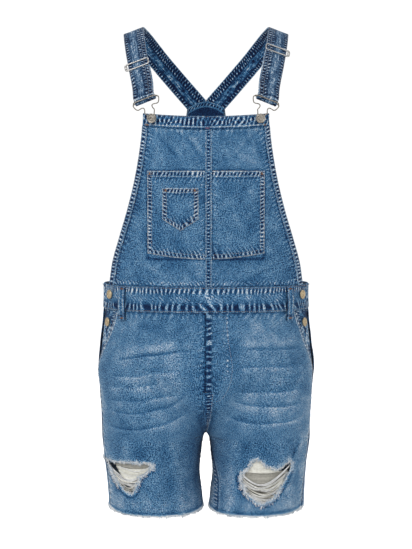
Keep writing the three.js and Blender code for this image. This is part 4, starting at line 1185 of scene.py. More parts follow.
def makeBib():
    for side, name in bothSides:
        def halfAt(u, v, side=side):
            place = onBib(u, v)
            place.x = side * max(place.x, 0.02)
            return place

        half = Cloth(halfAt, 150, 283, relief=bibRelief(side), hold=holdSide(side))
        half.build(f"bibHalf_{name}", [f"bib_{name}"], (2.0, 1.8), crowd=0.4, flat=(182, 286),
                   faces=("denimBib", "denimBack"), restsOn=["waistbandFront", f"clipHook_{name}"])
        bindingTop = (levels["bibBand"] + seamGap) / (levels["bibTop"] - levels["waistTop"])

        def bindingAt(u, v, side=side):
            down = mix(bindingTop, 1, v)
            place = onBib(1, down).lerp(onBib(1, down, 9), 1 - u)
            place.x *= side
            return place

        layStrip(f"bibBinding_{name}", f"bib_binding_{name}", bindingAt, 10, 272, (5.4, "roping"),
                 91 + side, 1.2, [f"bibHalf_{name}"])

    def bandAt(u, v):
        x = mix(-1, 1, u) * bibHalf(levels["bibTop"])
        return onFront(x, bibTop(x) - levels["bibBand"] * v)

    bandLength, bandDepth = 215, levels["bibBand"]
    bandRows = [(9.5, "topBand"), (8.5, "crossing")]
    plain = bandRelief(bandLength, bandDepth, bandRows, 97, base=-0.2, pale=(0.35, 0.3))

    def topBandRelief(u, v, place):
        height, ridge, fade, bare = plain(u, v, place)
        away = v * bandDepth
        ridge += 1.1 * bump(away - 17.6, 1.0) - 0.45 * bump(away - 19.8, 0.8)
        # it is doubled and darker where the centre seam runs under it
        middle = bump(place.x - 2, 5.5)
        return height + 0.4 * middle, max(-1, min(1, ridge * (1 - 0.6 * middle) - 0.3 * middle)), fade, bare

    band = Cloth(bandAt, bandLength, bandDepth, lift=onPanel, wall=1.6, behind=(0, 0, -160),
                 relief=topBandRelief)
    band.build("bibTopBand", ["bib_top_band"], (1.2, 1.05), **trimLook,
               restsOn=bothHalves)

    upperTop, lowerBottom = bibTop(0) - levels["bibBand"] - seamGap, levels["waistTop"] + seamGap
    for name, node, top, bottom in (
            ("bibSeamUpper", "bib_seam_upper", upperTop, pocket["top"] + seamGap),
            ("bibSeamLower", "bib_seam_lower", pocket["middle"] - seamGap, lowerBottom)):
        def seamAt(u, v, top=top, bottom=bottom):
            return onFront(mix(seamEdges[0], seamEdges[1], u), mix(top, bottom, v))

        layStrip(name, node, seamAt, 10.5, top - bottom, (5, "ladder"), 101, 1.0, bothHalves,
                 cell=(1.0, 1.2), pale=(0.6, 0.75))


seamEdges = (-1, 9.5)
bothHalves = ["bibHalf_left", "bibHalf_right"]
pocket = {"half": 94.5, "top": -241, "side": -375, "middle": -384.5, "down": 139}
coin = {"x": -41, "half": 29, "top": -268.5, "side": -319, "tip": -338, "across": 59, "down": 66}
pocketWall = 1.3


def patchRelief(width, height, seed, hemDepth, level=0.0, joined=0, tip=0.0):
    # a patch pocket: turned, roped edges, a doubled hem, and cloth that sags between them;
    # joined is the side, -1 or 1, that runs on under the centre seam
    def relief(u, v, place):
        spot = Relief()
        fromLeft, fromRight = u * width, (1 - u) * width
        fromTop = v * height
        fromBottom = (1 - v) * (height - tip * abs(2 * u - 1))
        sides = [far for far, way in ((fromLeft, -1), (fromRight, 1)) if way != joined]
        fromSide = min(sides)
        corner = min(fromTop, fromBottom, fromSide)
        spot.rim(corner, 1.0, 1.3)
        inSide = ease((min(fromTop, fromBottom) - 1.5) / 4)
        inRow = ease((fromSide - 1.5) / 4)
        spot.rope(place.z, fromSide - 4.2, "roping", seed, inSide)
        spot.rope(place.x, fromBottom - 4.2, "roping", seed + 2, inRow)
        spot.rope(place.x, fromTop - 4.6, "roping", seed + 1, inRow)
        fromHem = fromTop - hemDepth
        spot.ridge += inRow * 0.5 * bump(fromHem, 1.3) - 0.35 * inRow * bump(fromHem - 2.4, 1.6)
        spot.rope(place.x, fromTop - hemDepth - 4, "pucker", seed + 4, 0.8 * inRow)
        spot.rope(place.x, fromBottom - 10, "pucker", seed + 5, 1.3 * inRow)
        spot.rope(place.z, fromSide - 10, "pucker", seed + 6, 0.5 * inSide)
        if joined:
            fromSeam = fromLeft if joined < 0 else fromRight
            # painted shade: a dark line beside the centre seam's strip, which lies over this edge
            spot.ridge -= 0.4 * bump(fromSeam, 1.8)
            spot.rope(place.z, fromSeam - 5, "pucker", seed + 7, 0.5)
        spot.height += 0.8 * cloud(place.x, place.z, 34, seed) + 0.3 * ease((hemDepth - fromTop) / 1.5)
        spot.fade = (level + 0.5 * cloud(place.x, place.z, 28, seed + 5)
                     + 0.25 * cloud(place.x, place.z, 11, seed))
        spot.fade -= 0.3 * bump(corner - 9, 7)
        return spot.read()
    return relief


def makePockets():
    def bottomAt(x):
        return mix(pocket["middle"], pocket["side"], (x / pocket["half"]) ** 2)

    def patchAt(start, end):
        def at(u, v):
            x = mix(start, end, u)
            return onFront(x, mix(pocket["top"], bottomAt(x), v))
        return at

    for name, start, end, joined in (("right", -pocket["half"], seamEdges[0] - seamGap, 1),
                                     ("left", seamEdges[1] + seamGap, pocket["half"], -1)):
        width = (end - start) * 1.03
        patch = Cloth(patchAt(start, end), width, pocket["down"], lift=onPanel, wall=pocketWall,
                      relief=patchRelief(width, pocket["down"], 111 + joined, 9, -0.1, joined))
        patch.build(f"pocket_{name}", [f"bib_pocket_{name}"], (1.4, 1.35), crowd=0.3,
                    restsOn=[f"bibHalf_{name}"])
    layStrip("pocketSeam", "bib_pocket_seam", patchAt(*seamEdges), 10.5, 143, (5, "ladder"), 117, 2.0,
             bothHalves, cell=(1.0, 1.2), pale=(0.6, 0.75))

    def coinAt(u, v):
        share = mix(-1, 1, u)
        bottom = mix(coin["tip"], coin["side"], abs(share))
        return onFront(coin["x"] + share * coin["half"], mix(coin["top"], bottom, v))

    patch = Cloth(coinAt, coin["across"], coin["down"], lift=onPanel + pocketWall + seamGap, wall=pocketWall,
                  relief=patchRelief(coin["across"], 68, 121, 8, -0.1, tip=18))
    patch.build("coinPocket", ["coin_pocket"], (1.05, 1.05), restsOn=["pocket_right"])


yoke = {"apex": -117, "shoulder": -129.5, "bottom": -176, "half": 31.5, "sunk": -6.4}


def backTop(x):
    return mix(yoke["apex"], yoke["shoulder"], clamp01(abs(x) / yoke["half"]) ** 1.7)


def makeBack():
    def panelAt(u, v):
        roughZ = mix(yoke["shoulder"], levels["waistTop"] + seamGap, v)
        x = mix(-1, 1, u) * backHalf(roughZ)
        return onBack(x, mix(backTop(x), levels["waistTop"] + seamGap, v))

    def relief(u, v, place):
        x, z = place.x, place.z
        spot = Relief()
        fromEdge = backHalf(z) - abs(x)
        fromWaist = z - levels["waistTop"]
        fromTop = backTop(x) - z
        spot.rope(z, fromEdge - 12, "pucker", 131, 0.9)
        spot.rope(x, fromWaist - 5, "pucker", 133)
        # painted shadow: a dark line just above the waistband
        spot.ridge -= 0.35 * bump(fromWaist, 2)
        # the yoke: an arch of two rows, then a straight seam across the shoulder blades
        spot.rim(fromTop, 0.5)
        spot.rope(x, fromTop - 4.5, "strap", 137, 0.8)
        seamZ = z - (yoke["bottom"] - 3 * abs(x) / 40)
        spot.rope(x, seamZ - 4, "roping", 139, 0.9)
        spot.ridge += 0.6 * bump(seamZ, 0.9) - 0.6 * bump(seamZ + 2, 1.4)
        spot.height += 0.7 * ease(seamZ / 1.2 + 0.5)
        # the centre seam, felled to one side
        under = ease(-seamZ / 3)
        spot.rope(z, x - 4.5, "roping", 135, 0.9 * under)
        spot.ridge += under * (0.65 * bump(x, 0.9) - 0.6 * bump(x + 2, 1.4) + 0.35 * bump(x - 9, 1.0))
        spot.height += 0.6 * under * (ease(x / 1.2 + 0.5) - ease((x - 8.6) / 1.5))
        spot.height += 1.3 * cloud(x, z, 58, 41) * ease(fromWaist / 40) + 0.5 * cloud(x, z, 22, 44)
        # cross creases in the small of the back, with painted shade in each hollow and a painted highlight on
        # the swell above it
        for foldZ, deep in backCreases:
            line = foldZ + 9 * cloud(x, 0, 60, foldZ)
            reach = bump(x - 12 * math.sin(foldZ), 66) * deep
            spot.height -= reach * (bump(z - line, 5) - 0.5 * bump(z - line - 10, 7))
            spot.ridge += 0.25 * reach * (bump(z - line - 8, 5) - bump(z - line, 3))
        spot.fade = 0.4 * bump(z + 250, 70) + 0.5 * cloud(x, z, 38, 46) - 0.4 * bump(fromEdge - 8, 8)
        return spot.read()

    panel = Cloth(panelAt, 230, 306, relief=relief)
    panel.build("backPanel", ["back_panel"], (2.0, 1.9), faces=("denimBib", "denimBack"), flat=(335, 316),
                restsOn=["waistbandBack", "webbing_left", "webbing_right"])
    for side, name in bothSides:
        def bindingAt(u, v, side=side):
            z = mix(yoke["shoulder"] - 1, levels["waistTop"] + seamGap, v)
            place = onBack(backHalf(z) - 9 * (1 - u), z)
            place.x *= side
            return place

        layStrip(f"backBinding_{name}", f"back_binding_{name}", bindingAt, 10, 340, (5.4, "roping"),
                 141 + side, 1.2, ["backPanel"], cell=(1.0, 1.5), lift=onPanel + 0.6)

    def yokeAt(u, v):
        x = mix(-1, 1, u) * yoke["half"]
        return onBack(x, mix(backTop(x), yoke["bottom"], v))

    def facingRelief(u, v, place):
        # the inside of the yoke: a stitched arch above plain dark cloth
        spot = Relief()
        fromTop = backTop(place.x) - place.z
        archShare = ease((9.8 - fromTop) / 0.8)
        spot.rim(fromTop, 0.8)
        spot.ridge += 0.35 * archShare
        spot.rope(place.x, fromTop - 5, "strap", 171, archShare)
        spot.ridge += 0.75 * bump(fromTop - 9.6, 0.9)
        spot.height = -0.35 * archShare + 0.15 * cloud(place.x, place.z, 12, 5)
        spot.fade = -0.2 - 0.3 * (1 - archShare)
        return spot.read()

    inner = Cloth(yokeAt, 63, 55, lift=yoke["sunk"], relief=facingRelief)
    inner.build("yokeFacing", ["yoke_facing"], (1.2, 1.1), slot="denim_inside",
                faces=("denimDark", "denimDark"), restsOn=["backPanel"])


# sliders: how high each strap's slider sits, by side; cell: how fine the mesh is
strap = {
    "width": 36,
    "wall": 2.2,
    "sliders": {"left": -44, "right": -68},
    "hookDrop": 30,
    "wire": 1.0,
    "stations": 260,
    "turnStations": 10,
    "cell": (1.2, 1.7),
}
slider = {"half": 20.5, "pitch": 5.8, "ends": 3.4, "offCentre": 2.2, "cornerSteps": 8}
# the middle of the strap's underside, and the direction from its neck edge to its arm edge
strapStations = [
    ((-0.5, 112.0, -143.5), (0.75, 0, -0.66)),
    ((17, 113.0, -123), (0.75, 0, -0.66)),
    ((45, 111.5, -91), (0.75, -0.05, -0.66)),
    ((78, 98, -53), (0.77, -0.09, -0.63)),
    ((104, 68, -22), (0.84, -0.06, -0.52)),
    ((117, 34, -8.5), (0.91, -0.02, -0.41)),
    ((121, 0, -6.5), (0.935, 0, -0.355)),
    ((120, -30, -12), (0.935, 0.08, -0.345)),
    ((116.5, -57, -34), (0.93, 0.15, -0.335)),
    ((110, -82, -68), (0.93, 0.22, -0.335)),
    ((103, -100, -102), (0.91, 0.26, -0.338)),
]
hookMiddle = Vector((98, -109.5, -127.5))
hookAcross = Vector((0.9, 0.28, -0.333)).normalized()
hookOut = (Vector((0, -1, 0)) - hookAcross * Vector((0, -1, 0)).dot(hookAcross)).normalized()
hookDown = hookAcross.cross(hookOut).normalized()
if hookDown.z > 0:
    hookDown.negate()


def smoothRun(points, closed=False):
    # a centripetal curve through a list of points, read at a share of its length
    count = len(points)

    def at(share):
        spot = share * (count if closed else count - 1)
        i = min(int(spot), count - 1 if closed else count - 2)
        weight = spot - i
        if closed:
            p0, p1, p2, p3 = (points[(i + k) % count] for k in (-1, 0, 1, 2))
        else:
            p1, p2 = points[i], points[i + 1]
            p0 = points[i - 1] if i > 0 else p1 * 2 - p2
            p3 = points[i + 2] if i + 2 < count else p2 * 2 - p1
        d0, d1, d2 = (max(1e-4, (b - a).length) ** 0.5 for a, b in ((p0, p1), (p1, p2), (p2, p3)))
        t1 = ((p1 - p0) / d0 - (p2 - p0) / (d0 + d1) + (p2 - p1) / d1) * d1
        t2 = ((p2 - p1) / d1 - (p3 - p1) / (d1 + d2) + (p3 - p2) / d2) * d1
        return (p1 + t1 * weight + (p1 * -3 + p2 * 3 - t1 * 2 - t2) * weight ** 2
                + (p1 * 2 - p2 * 2 + t1 + t2) * weight ** 3)
    return at


def strapFrames(sliderZ):
    turnRadius = strap["wire"] + seamGap + 0.2
    stations = [Vector(place) for place, _ in strapStations]
    barFront = hookMiddle + hookOut * turnRadius
    stations += [barFront - hookDown * 8, barFront]
    spine = smoothRun(stations)
    directions = smoothRun([Vector(across) for _, across in strapStations] + [hookAcross, hookAcross])
    frames = []
    steps, turnSteps = strap["stations"], strap["turnStations"]
    for i in range(steps + 1):
        share = i / steps
        point = spine(share)
        tangent = (spine(min(1, share + 1e-4)) - spine(max(0, share - 1e-4))).normalized()
        across = directions(share)
        across = (across - tangent * across.dot(tangent)).normalized()
        frames.append((point, across, across.cross(tangent).normalized()))
    if frames[-1][2].dot(hookOut) < 0:
        frames = [(point, across, -normal) for point, across, normal in frames]
    main = list(frames)
    # round the hook's bar, and back up behind the strap to just under the slider
    for i in range(1, turnSteps):
        turn = i / turnSteps * math.pi
        normal = hookOut * math.cos(turn) + hookDown * math.sin(turn)
        frames.append((hookMiddle + normal * turnRadius, hookAcross.copy(), normal))
    for i in range(steps, 0, -1):
        point, across, normal = main[i]
        if point.z > sliderZ - 4:
            break
        off = mix(2 * turnRadius, 2 * seamGap, ease((steps - i) / 20))
        frames.append((point - normal * off, across.copy(), -normal))
    return main, frames


def makeStraps():
    for side, name in bothSides:
        main, frames = strapFrames(strap["sliders"][name])
        lengths = [0.0]
        for (a, _, _), (b, _, _) in zip(frames, frames[1:]):
            lengths.append(lengths[-1] + (b - a).length)
        total = lengths[-1]
        knee = lengths[len(main) - 1]

        def frameAt(v, frames=frames, lengths=lengths, total=total):
            want = clamp01(v) * total
            low = min(bisect.bisect_right(lengths, want), len(lengths) - 1) - 1
            share = (want - lengths[low]) / max(1e-6, lengths[low + 1] - lengths[low])
            return tuple(p.lerp(q, share) for p, q in zip(frames[low], frames[low + 1]))

        def at(u, v, side=side, frameAt=frameAt):
            point, across, _ = frameAt(v)
            return mirrored(point + across * ((u - 0.5) * strap["width"]), side)

        def normalAt(u, v, side=side, frameAt=frameAt):
            return mirrored(frameAt(v)[2], side).normalized()

        def relief(u, v, place, total=total, side=side, knee=knee):
            away, along = u * strap["width"], v * total
            spot = Relief()
            spot.rim(min(away, strap["width"] - away), 0.7, 0.9)
            spot.ridge -= 0.25 * (bump(away - 6, 6) + bump(strap["width"] - away - 4, 5))
            spot.rope(along, strap["width"] - away - 4.2, "strap", 151 + side)
            spot.rope(along, away - 4.2, "strap", 153 + side)
            spot.rope(along, away - 10.6, "strap", 155 + side, 0.85)
            spot.ridge += 0.9 * cloud(away, along / 9, 1.9, 159 + side) * bump(away - 21, 9)
            spot.ridge -= 0.35 * bump(away - 14, 1.2) + 0.3 * bump(away - 27.5, 1.2)
            spot.rope(along, away - 21, "crossing", 163 + side, 0.3)
            # the row across the loop's end, just above the hook
            spot.ridge += 0.8 * bump(along - (knee - 7), 0.9) - 0.5 * bump(along - (knee - 9.5), 1.2)
            spot.height += 0.4 * cloud(along, away, 20, 9)
            spot.fade = 0.6 * bump(away - 21, 8) + 0.5 * cloud(along, away, 22, 11)
            return spot.read()

        # the sewn end lies inside the yoke, where it is cut off at the middle
        def cutEnd(bm, side=side):
            bmesh.ops.bisect_plane(bm, geom=bm.verts[:] + bm.edges[:] + bm.faces[:], clear_outer=True,
                                   plane_co=(side * seamGap, 0, 0), plane_no=(-side, 0, 0))
            bm.normal_update()
            atShoulder = min(bm.verts, key=lambda vert: abs(vert.co.y) + abs(vert.co.z))
            if atShoulder.normal.z < 0:
                bmesh.ops.reverse_faces(bm, faces=bm.faces[:])

        cloth = Cloth(at, strap["width"], total, wall=strap["wall"], relief=relief, normalAt=normalAt)
        cloth.build(f"webbing_{name}", [f"strap_{name}"], strap["cell"], shift=(side, 0), trim=cutEnd,
                    flat=(strap["width"] + 1, total), faces=("denimStrap", "denimStrapInner"),
                    restsOn=[f"clipHook_{name}", "backPanel"])


# half width beside the hook's middle line, drop below its top bar
hookOutline = [
    (22.5, 0), (22.6, 3.5), (18.5, 9.8), (10, 9.2), (7.4, 10.6), (7.2, 14), (8.6, 18), (6.6, 22.5),
    (5.4, 26), (5.9, 30), (4.4, 34), (0, 36),
]


def drawRuns(name, node, depth, resolution, runs, finishes):
    # every run is a bent wire or a yarn: its points, how thick it is at each, its finish, and if it closes
    curve = bpy.data.curves.new(name, "CURVE")
    curve.dimensions = "3D"
    curve.bevel_depth = depth
    curve.bevel_resolution = resolution
    curve.use_fill_caps = True
    for finish in finishes:
        curve.materials.append(material(finish))
    for points, thick, finish, closed in runs:
        spline = curve.splines.new("POLY")
        spline.points.add(len(points) - 1)
        spline.use_cyclic_u = closed
        spline.material_index = finishes.index(finish)
        for spot, point, radius in zip(spline.points, points, thick):
            spot.co = (*(point * toMetres), 1)
            spot.radius = radius
    drawn = bpy.data.objects.new(name + "Path", curve)
    bpy.context.scene.collection.objects.link(drawn)
    bpy.context.view_layer.update()
    mesh = bpy.data.meshes.new_from_object(drawn.evaluated_get(bpy.context.evaluated_depsgraph_get()))
    bpy.data.objects.remove(drawn)
    bm = bmesh.new()
    bm.from_mesh(mesh)
    bmesh.ops.remove_doubles(bm, verts=bm.verts[:], dist=1e-6)
    bmesh.ops.recalc_face_normals(bm, faces=bm.faces[:])
    declare(finishMesh(name, bm, finishes), [node])


def drawWires(name, node, runs, radius, finish):
    wires = [(points, swell or [1] * len(points), finish, closed) for points, swell, closed in runs]
    drawRuns(name, node, radius * toMetres, 3, wires, (finish,))


# a yarn thins at both ends
def drawYarns(name, node, runs, finishes):
    yarns = []
    for points, radius, finish in runs:
        thick = [radius * (0.45 if i in (0, len(points) - 1) else 1) for i in range(len(points))]
        yarns.append((points, thick, finish, False))
    drawRuns(name, node, toMetres, 0, yarns, finishes)


def makeHooks():
    for side, name in bothSides:
        def place(sideways, drop, out=0.0, side=side):
            lean = out - 1.2 * ease(drop / strap["hookDrop"])
            return mirrored(hookMiddle + hookAcross * sideways + hookDown * drop + hookOut * lean, side)

        outline = [place(out, drop) for out, drop in hookOutline]
        outline += [place(-out, drop) for out, drop in reversed(hookOutline[:-1])]
        run = smoothRun(outline, closed=True)
        # the front bar lies over the strap's folded end
        front = 1.5 + strap["wall"] + 1.6
        bar = [place(-22.6, 0.6), place(-21.6, -1.2), place(-19.5, -2.6, front * 0.8)]
        bar += [place(away, -3.2, front) for away in (-17, -9, 0, 9, 17)]
        bar += [place(19.5, -2.6, front * 0.8), place(21.6, -1.2), place(22.6, 0.6)]
        barRun = smoothRun(bar)
        runs = [([run(i / 150) for i in range(150)], None, True),
                ([barRun(i / 60) for i in range(61)], None, False)]
        drawWires(f"clipHook_{name}", f"hook_{name}", runs, strap["wire"] * 0.95, "nickel")

    for side, name in bothSides:
        sliderZ = strap["sliders"][name]
        main, _ = strapFrames(sliderZ)
        inFront = [station for station in main if station[0].y < 10]
        point, across, normal = min(inFront, key=lambda station: abs(station[0].z - sliderZ))
        along = across.cross(normal).normalized()
        centre = point + normal * (strap["wall"] + strap["wire"] + seamGap) + across * slider["offCentre"]
        ring, swell = [], []
        half, pitch, ends, steps = (slider[part] for part in ("half", "pitch", "ends", "cornerSteps"))
        for sideways, upward in ((1, 1), (-1, 1), (-1, -1), (1, -1)):
            start = math.atan2(upward, sideways) - math.pi / 4
            for i in range(steps + 1):
                turn = start + i / steps * math.pi / 2
                a = sideways * (half - ends) + ends * math.cos(turn)
                b = upward * (pitch - ends) + ends * math.sin(turn)
                ring.append(mirrored(centre + across * a + along * b, side))
                swell.append(1.7 if sideways > 0 else 1.1)
        tab = [mirrored(centre + across * (half - 1.5) + along * far, side) for far in (-3.5, 0, 3.5)]
        runs = [(ring, swell, True), (tab, [2.2, 2.6, 2.2], False)]
        drawWires(f"strapSlider_{name}", f"slider_{name}", runs, strap["wire"] * 0.85, "silver")


buttonShank = 0.52
# radius and height of a plain tack button's turned profile, as shares of its radius
buttonProfile = [
    (0.0, 0.0), (0.4, 0.0), (0.4, 0.52), (0.9, 0.56), (0.99, 0.62), (1.0, 0.72), (0.97, 0.82),
    (0.88, 0.88), (0.78, 0.87), (0.72, 0.8), (0.66, 0.78), (0.5, 0.79), (0.44, 0.85), (0.38, 0.88),
    (0.26, 0.86), (0.2, 0.8), (0.12, 0.8), (0.08, 0.87), (0.0, 0.9),
]


buttons = {
    "bib": {"radius": 7.9, "shank": 5.2, "finish": "nickel"},
    "side": {"radius": 7.5, "shank": 1.2, "finish": "brass"},
}


def makeButton(name, node, side, foot, out, radius, shank, finish):
    bm = bmesh.new()
    # everything above the shank rises with it
    stretch = shank - buttonShank * radius
    last = None
    for share, height in buttonProfile:
        level = height * radius + (stretch if height >= buttonShank else 0)
        vert = bm.verts.new((share * radius, 0, level))
        if last:
            bm.edges.new((last, vert))
        last = vert
    bmesh.ops.spin(bm, geom=bm.verts[:] + bm.edges[:], cent=(0, 0, 0), axis=(0, 0, 1), angle=math.tau,
                   steps=48, use_merge=True)
    bmesh.ops.remove_doubles(bm, verts=bm.verts[:], dist=1e-4)
    bmesh.ops.recalc_face_normals(bm, faces=bm.faces[:])
    turn = Vector((0, 0, 1)).rotation_difference(mirrored(out, side)).to_matrix().to_4x4()
    bmesh.ops.transform(bm, matrix=Matrix.Translation(mirrored(foot, side)) @ turn, verts=bm.verts[:])
    bmesh.ops.scale(bm, vec=(toMetres,) * 3, verts=bm.verts[:])
    declare(finishMesh(name, bm, [finish]), [node])


def outFrom(degrees, z):
    around = onBody(degrees + 0.5, z) - onBody(degrees - 0.5, z)
    up = onBody(degrees, z + 1) - onBody(degrees, z - 1)
    out = around.cross(up).normalized()
    return -out if out.dot(onBody(degrees, z) - Vector((0, 0, z))) < 0 else out


# which, angle round the body, height, how far its foot stands off the body
sideButtons = [("upper", -26, -446, 2.5), ("lower", -21.5, -493, -0.9)]
bibButtonSink = -2.9


def makeButtons():
    for side, name in bothSides:
        foot = hookMiddle + hookDown * strap["hookDrop"] + hookOut * bibButtonSink
        makeButton(f"bibButton_{name}", f"bib_button_{name}", side, foot, hookOut, **buttons["bib"])
        for part, degrees, z, lift in sideButtons:
            out = outFrom(degrees, z)
            foot = onBody(degrees, z) + out * lift
            makeButton(f"sideButton_{name}_{part}", f"side_button_{name}_{part}", side, foot, out,
                       **buttons["side"])


def onLegFront(side, x, z):
    middle, half = (legOuter(z) + legInner(z)) / 2, (legOuter(z) - legInner(z)) / 2
    c = (side * x - middle) / half
    c = math.copysign(min(1, abs(c)) ** (garment["ovalPower"] / 2), c)
    return mirrored(onLeg(-math.degrees(math.acos(max(-1, min(1, c)))), z), side)


def offLeg(side, x, z, out):
    point = onLegFront(side, x, z)
    return point + Vector((point.x - side * 88, point.y, 0)).normalized() * out


sheetPitch = 0.85


def ripYarnRuns(name, side, chance):
    middleX, middleZ = rips[name]["middle"]
    outline = rips[name]["outline"]
    runs = []

    def edges(level):
        crossings = []
        for (x0, z0), (x1, z1) in zip(outline, outline[1:] + outline[:1]):
            if (z0 > level) != (z1 > level):
                crossings.append(mix(x0, x1, (level - z0) / (z1 - z0)))
        return min(crossings), max(crossings)

    for top, bottom, (leftHigh, leftLow), rightMost, deep, finish in rips[name]["sheets"]:
        for i in range(int((top - bottom) / sheetPitch)):
            level = top - sheetPitch * i
            start, end = edges(min(level, max(z for _, z in outline) - 0.5))
            leftMost = mix(leftHigh, leftLow, (top - level) / (top - bottom)) + 2 * chance.random()
            start, end = max(start - 2.5, leftMost), min(end + 2.5, rightMost)
            lift = 0.7 * chance.random()
            points = []
            for k in range(9):
                t = k / 8
                sag = 2.6 * math.sin(math.pi * t) + 0.25 * math.sin(5 * t + i)
                out = mix(-deep + lift, 0.1, abs(2 * t - 1) ** 5)
                points.append(offLeg(side, middleX + mix(start, end, t), middleZ + level - sag, out))
            runs.append((points, 0.58 + 0.16 * chance.random(), finish))
    # bright bundles that sag across the opening
    for count, bundles, starts, ends, lows in rips[name]["sweeps"]:
        for i in range(count):
            bundle = int((i + chance.random()) / count * bundles)
            share = min(1, (bundle + 0.72 * chance.random()) / (bundles - 0.3))
            ax, az = (mix(a, b, share) for a, b in zip(*starts))
            bx, bz = (mix(a, b, share) for a, b in zip(*ends))
            lx, lz = (mix(a, b, share) + 1.6 * (chance.random() - 0.5) for a, b in zip(*lows))
            cx, cz = 2 * lx - (ax + bx) / 2, 2 * lz - (az + bz) / 2
            depth, wave = -3.2 + 4 * chance.random(), 2 * bundle + 1.2 * chance.random()
            points = []
            for k in range(15):
                t = k / 14
                x = ax * (1 - t) ** 2 + 2 * cx * t * (1 - t) + bx * t * t
                z = az * (1 - t) ** 2 + 2 * cz * t * (1 - t) + bz * t * t + 1.0 * math.sin(wave + 8 * t)
                out = mix(0.8, depth, math.sin(math.pi * t) ** 0.7) + 0.5 * math.sin(wave + 13 * t)
                points.append(offLeg(side, middleX + x, middleZ + z, out))
            # the deep shade finish is painted shade among the bright strands
            finish = ("yarn", "yarn", "yarn", "creamYarn", "creamYarn", "dimYarn")[int(6 * chance.random())]
            runs.append((points, 0.4 + 0.35 * chance.random() ** 2, finish))
    return runs


def fringeRuns(name, side, chance):
    # broken ends all round the torn edge, in tufts
    middleX, middleZ = rips[name]["middle"]
    corners = ripOutline(name)
    runs = []
    for (x0, z0), (x1, z1) in zip(corners, corners[1:] + corners[:1]):
        run = math.hypot(x1 - x0, z1 - z0)
        upper = (z0 + z1) / 2 > middleZ + 19
        for _ in range(max(1, round(run * 7))):
            t = chance.random()
            x, z = mix(x0, x1, t), mix(z0, z1, t)
            tuft = 0.5 + unevenness(x / 3.5, z / 3.5, 5)
            inX, inZ = middleX - x, middleZ - z
            size = math.hypot(inX, inZ)
            turn = (chance.random() - 0.5) * 1.6
            dirX = (inX * math.cos(turn) - inZ * math.sin(turn)) / size
            dirZ = (inX * math.sin(turn) + inZ * math.cos(turn)) / size
            outward = chance.random() < (0.4 if upper else 0.6)
            long = (2.2 if upper else 3) + (4 if upper else 8) * tuft * chance.random()
            if outward:
                dirX, dirZ = -dirX, -dirZ
            points = []
            for k in range(5):
                far = long * (k / 4) - 1
                curl = 0.5 * math.sin(7 * t + 2.2 * k) * chance.random()
                droop = 0.16 * k * k * chance.random()
                out = 1.0 + 0.35 * k * chance.random()
                points.append(offLeg(side, x + dirX * far + curl, z + dirZ * far - droop, out))
            finish = "blueYarn" if chance.random() < 0.42 else "yarn"
            runs.append((points, 0.27 + 0.2 * chance.random(), finish))
    if name == "right":
        # the lip runs out past the side of the leg
        for i in range(60):
            share = chance.random()
            x, z = mix(-178, -160, share), mix(-727, -722, share) + 1.5 * chance.random()
            points = []
            for k in range(4):
                out = mix(4.6, 2.2, share) + 0.4 * k * chance.random()
                away = (chance.random() - 0.6) * k
                points.append(offLeg(side, x + away, z - (0.9 + 1.2 * chance.random()) * k, out))
            radius = 0.3 + 0.2 * chance.random()
            runs.append((points, radius, "yarn" if chance.random() < 0.7 else "blueYarn"))
    return runs


def makeRipYarns():
    chance = random.Random(11)
    finishes = ("yarn", "creamYarn", "shadedYarn", "blueYarn", "dimYarn")
    for name, side in (("right", -1), ("left", 1)):
        runs = ripYarnRuns(name, side, chance) + fringeRuns(name, side, chance)
        drawYarns(f"ripYarns_{name}", f"rip_yarns_{name}", runs, finishes)


fray = {"yarns": 620, "shortest": 2.6, "longest": 6.4, "spread": 6}


def makeFray():
    chance = random.Random(23)
    for side, name in bothSides:
        for face in ("front", "back"):
            sign = -1 if face == "front" else 1
            runs = []
            for i in range(fray["yarns"]):
                across = (i + chance.random()) / fray["yarns"]
                thick = 0.65 + 0.6 * unevenness(across * 23, side * 3, sign)
                tuft = bump(across - 1, 0.03) + bump(across, 0.02)
                long = thick * mix(fray["shortest"], fray["longest"], chance.random() ** 1.6)
                long = long + 2.5 * tuft + 1.6
                sideways = (chance.random() - 0.5) * fray["spread"]
                points = []
                for k in range(4):
                    drop = -1.7 + long * k / 3
                    spot = across + sideways * (k / 3) ** 2 / 290
                    z = levels["hem"] + hemRise(clamp01(spot), levels["hem"]) - drop
                    place = onLeg(mix(sign * 180, sideSeamAngle(levels["hem"]), clamp01(spot)), z)
                    out = Vector((place.x - 86, place.y, 0)).normalized()
                    place += out * (0.6 + 0.9 * chance.random() + 0.3 * k)
                    place.x = max(place.x, seamGap / 2)
                    points.append(mirrored(place, side))
                radius = 0.34 + 0.24 * chance.random()
                runs.append((points, radius, "blueYarn" if chance.random() < 0.3 else "hemYarn"))
            drawYarns(f"hemFray_{name}_{face}", f"hem_fray_{name}_{face}", runs, ("hemYarn", "blueYarn"))


# a straight row so many millimetres from the left edge, or from the right edge where that is negative
def sewDown(group, name, far, start=0.01, end=0.99, steps=1, **how):
    u = far / pieces[name].across
    u = 1 + u if far < 0 else u
    sew(group, name, line(u, start, u, end, steps), **how)


# the same from the upper edge
def sewAcross(group, name, far, start=0.01, end=0.99, **how):
    v = far / pieces[name].down
    sew(group, name, line(start, v, end, v), **how)


def tack(group, clothName, u, down, wide, tall):
    # a bartack: short stitches packed side by side
    cloth = pieces[clothName]
    count = max(3, round(tall / 0.75))
    reach = 0.7 * wide / cloth.across
    for i in range(count):
        level = down / cloth.down + (i / (count - 1) - 0.5) * tall / cloth.down
        sew(group, clothName, line(u - reach, level, u + reach, level), pitch=wide * 1.4, thick=1.1)


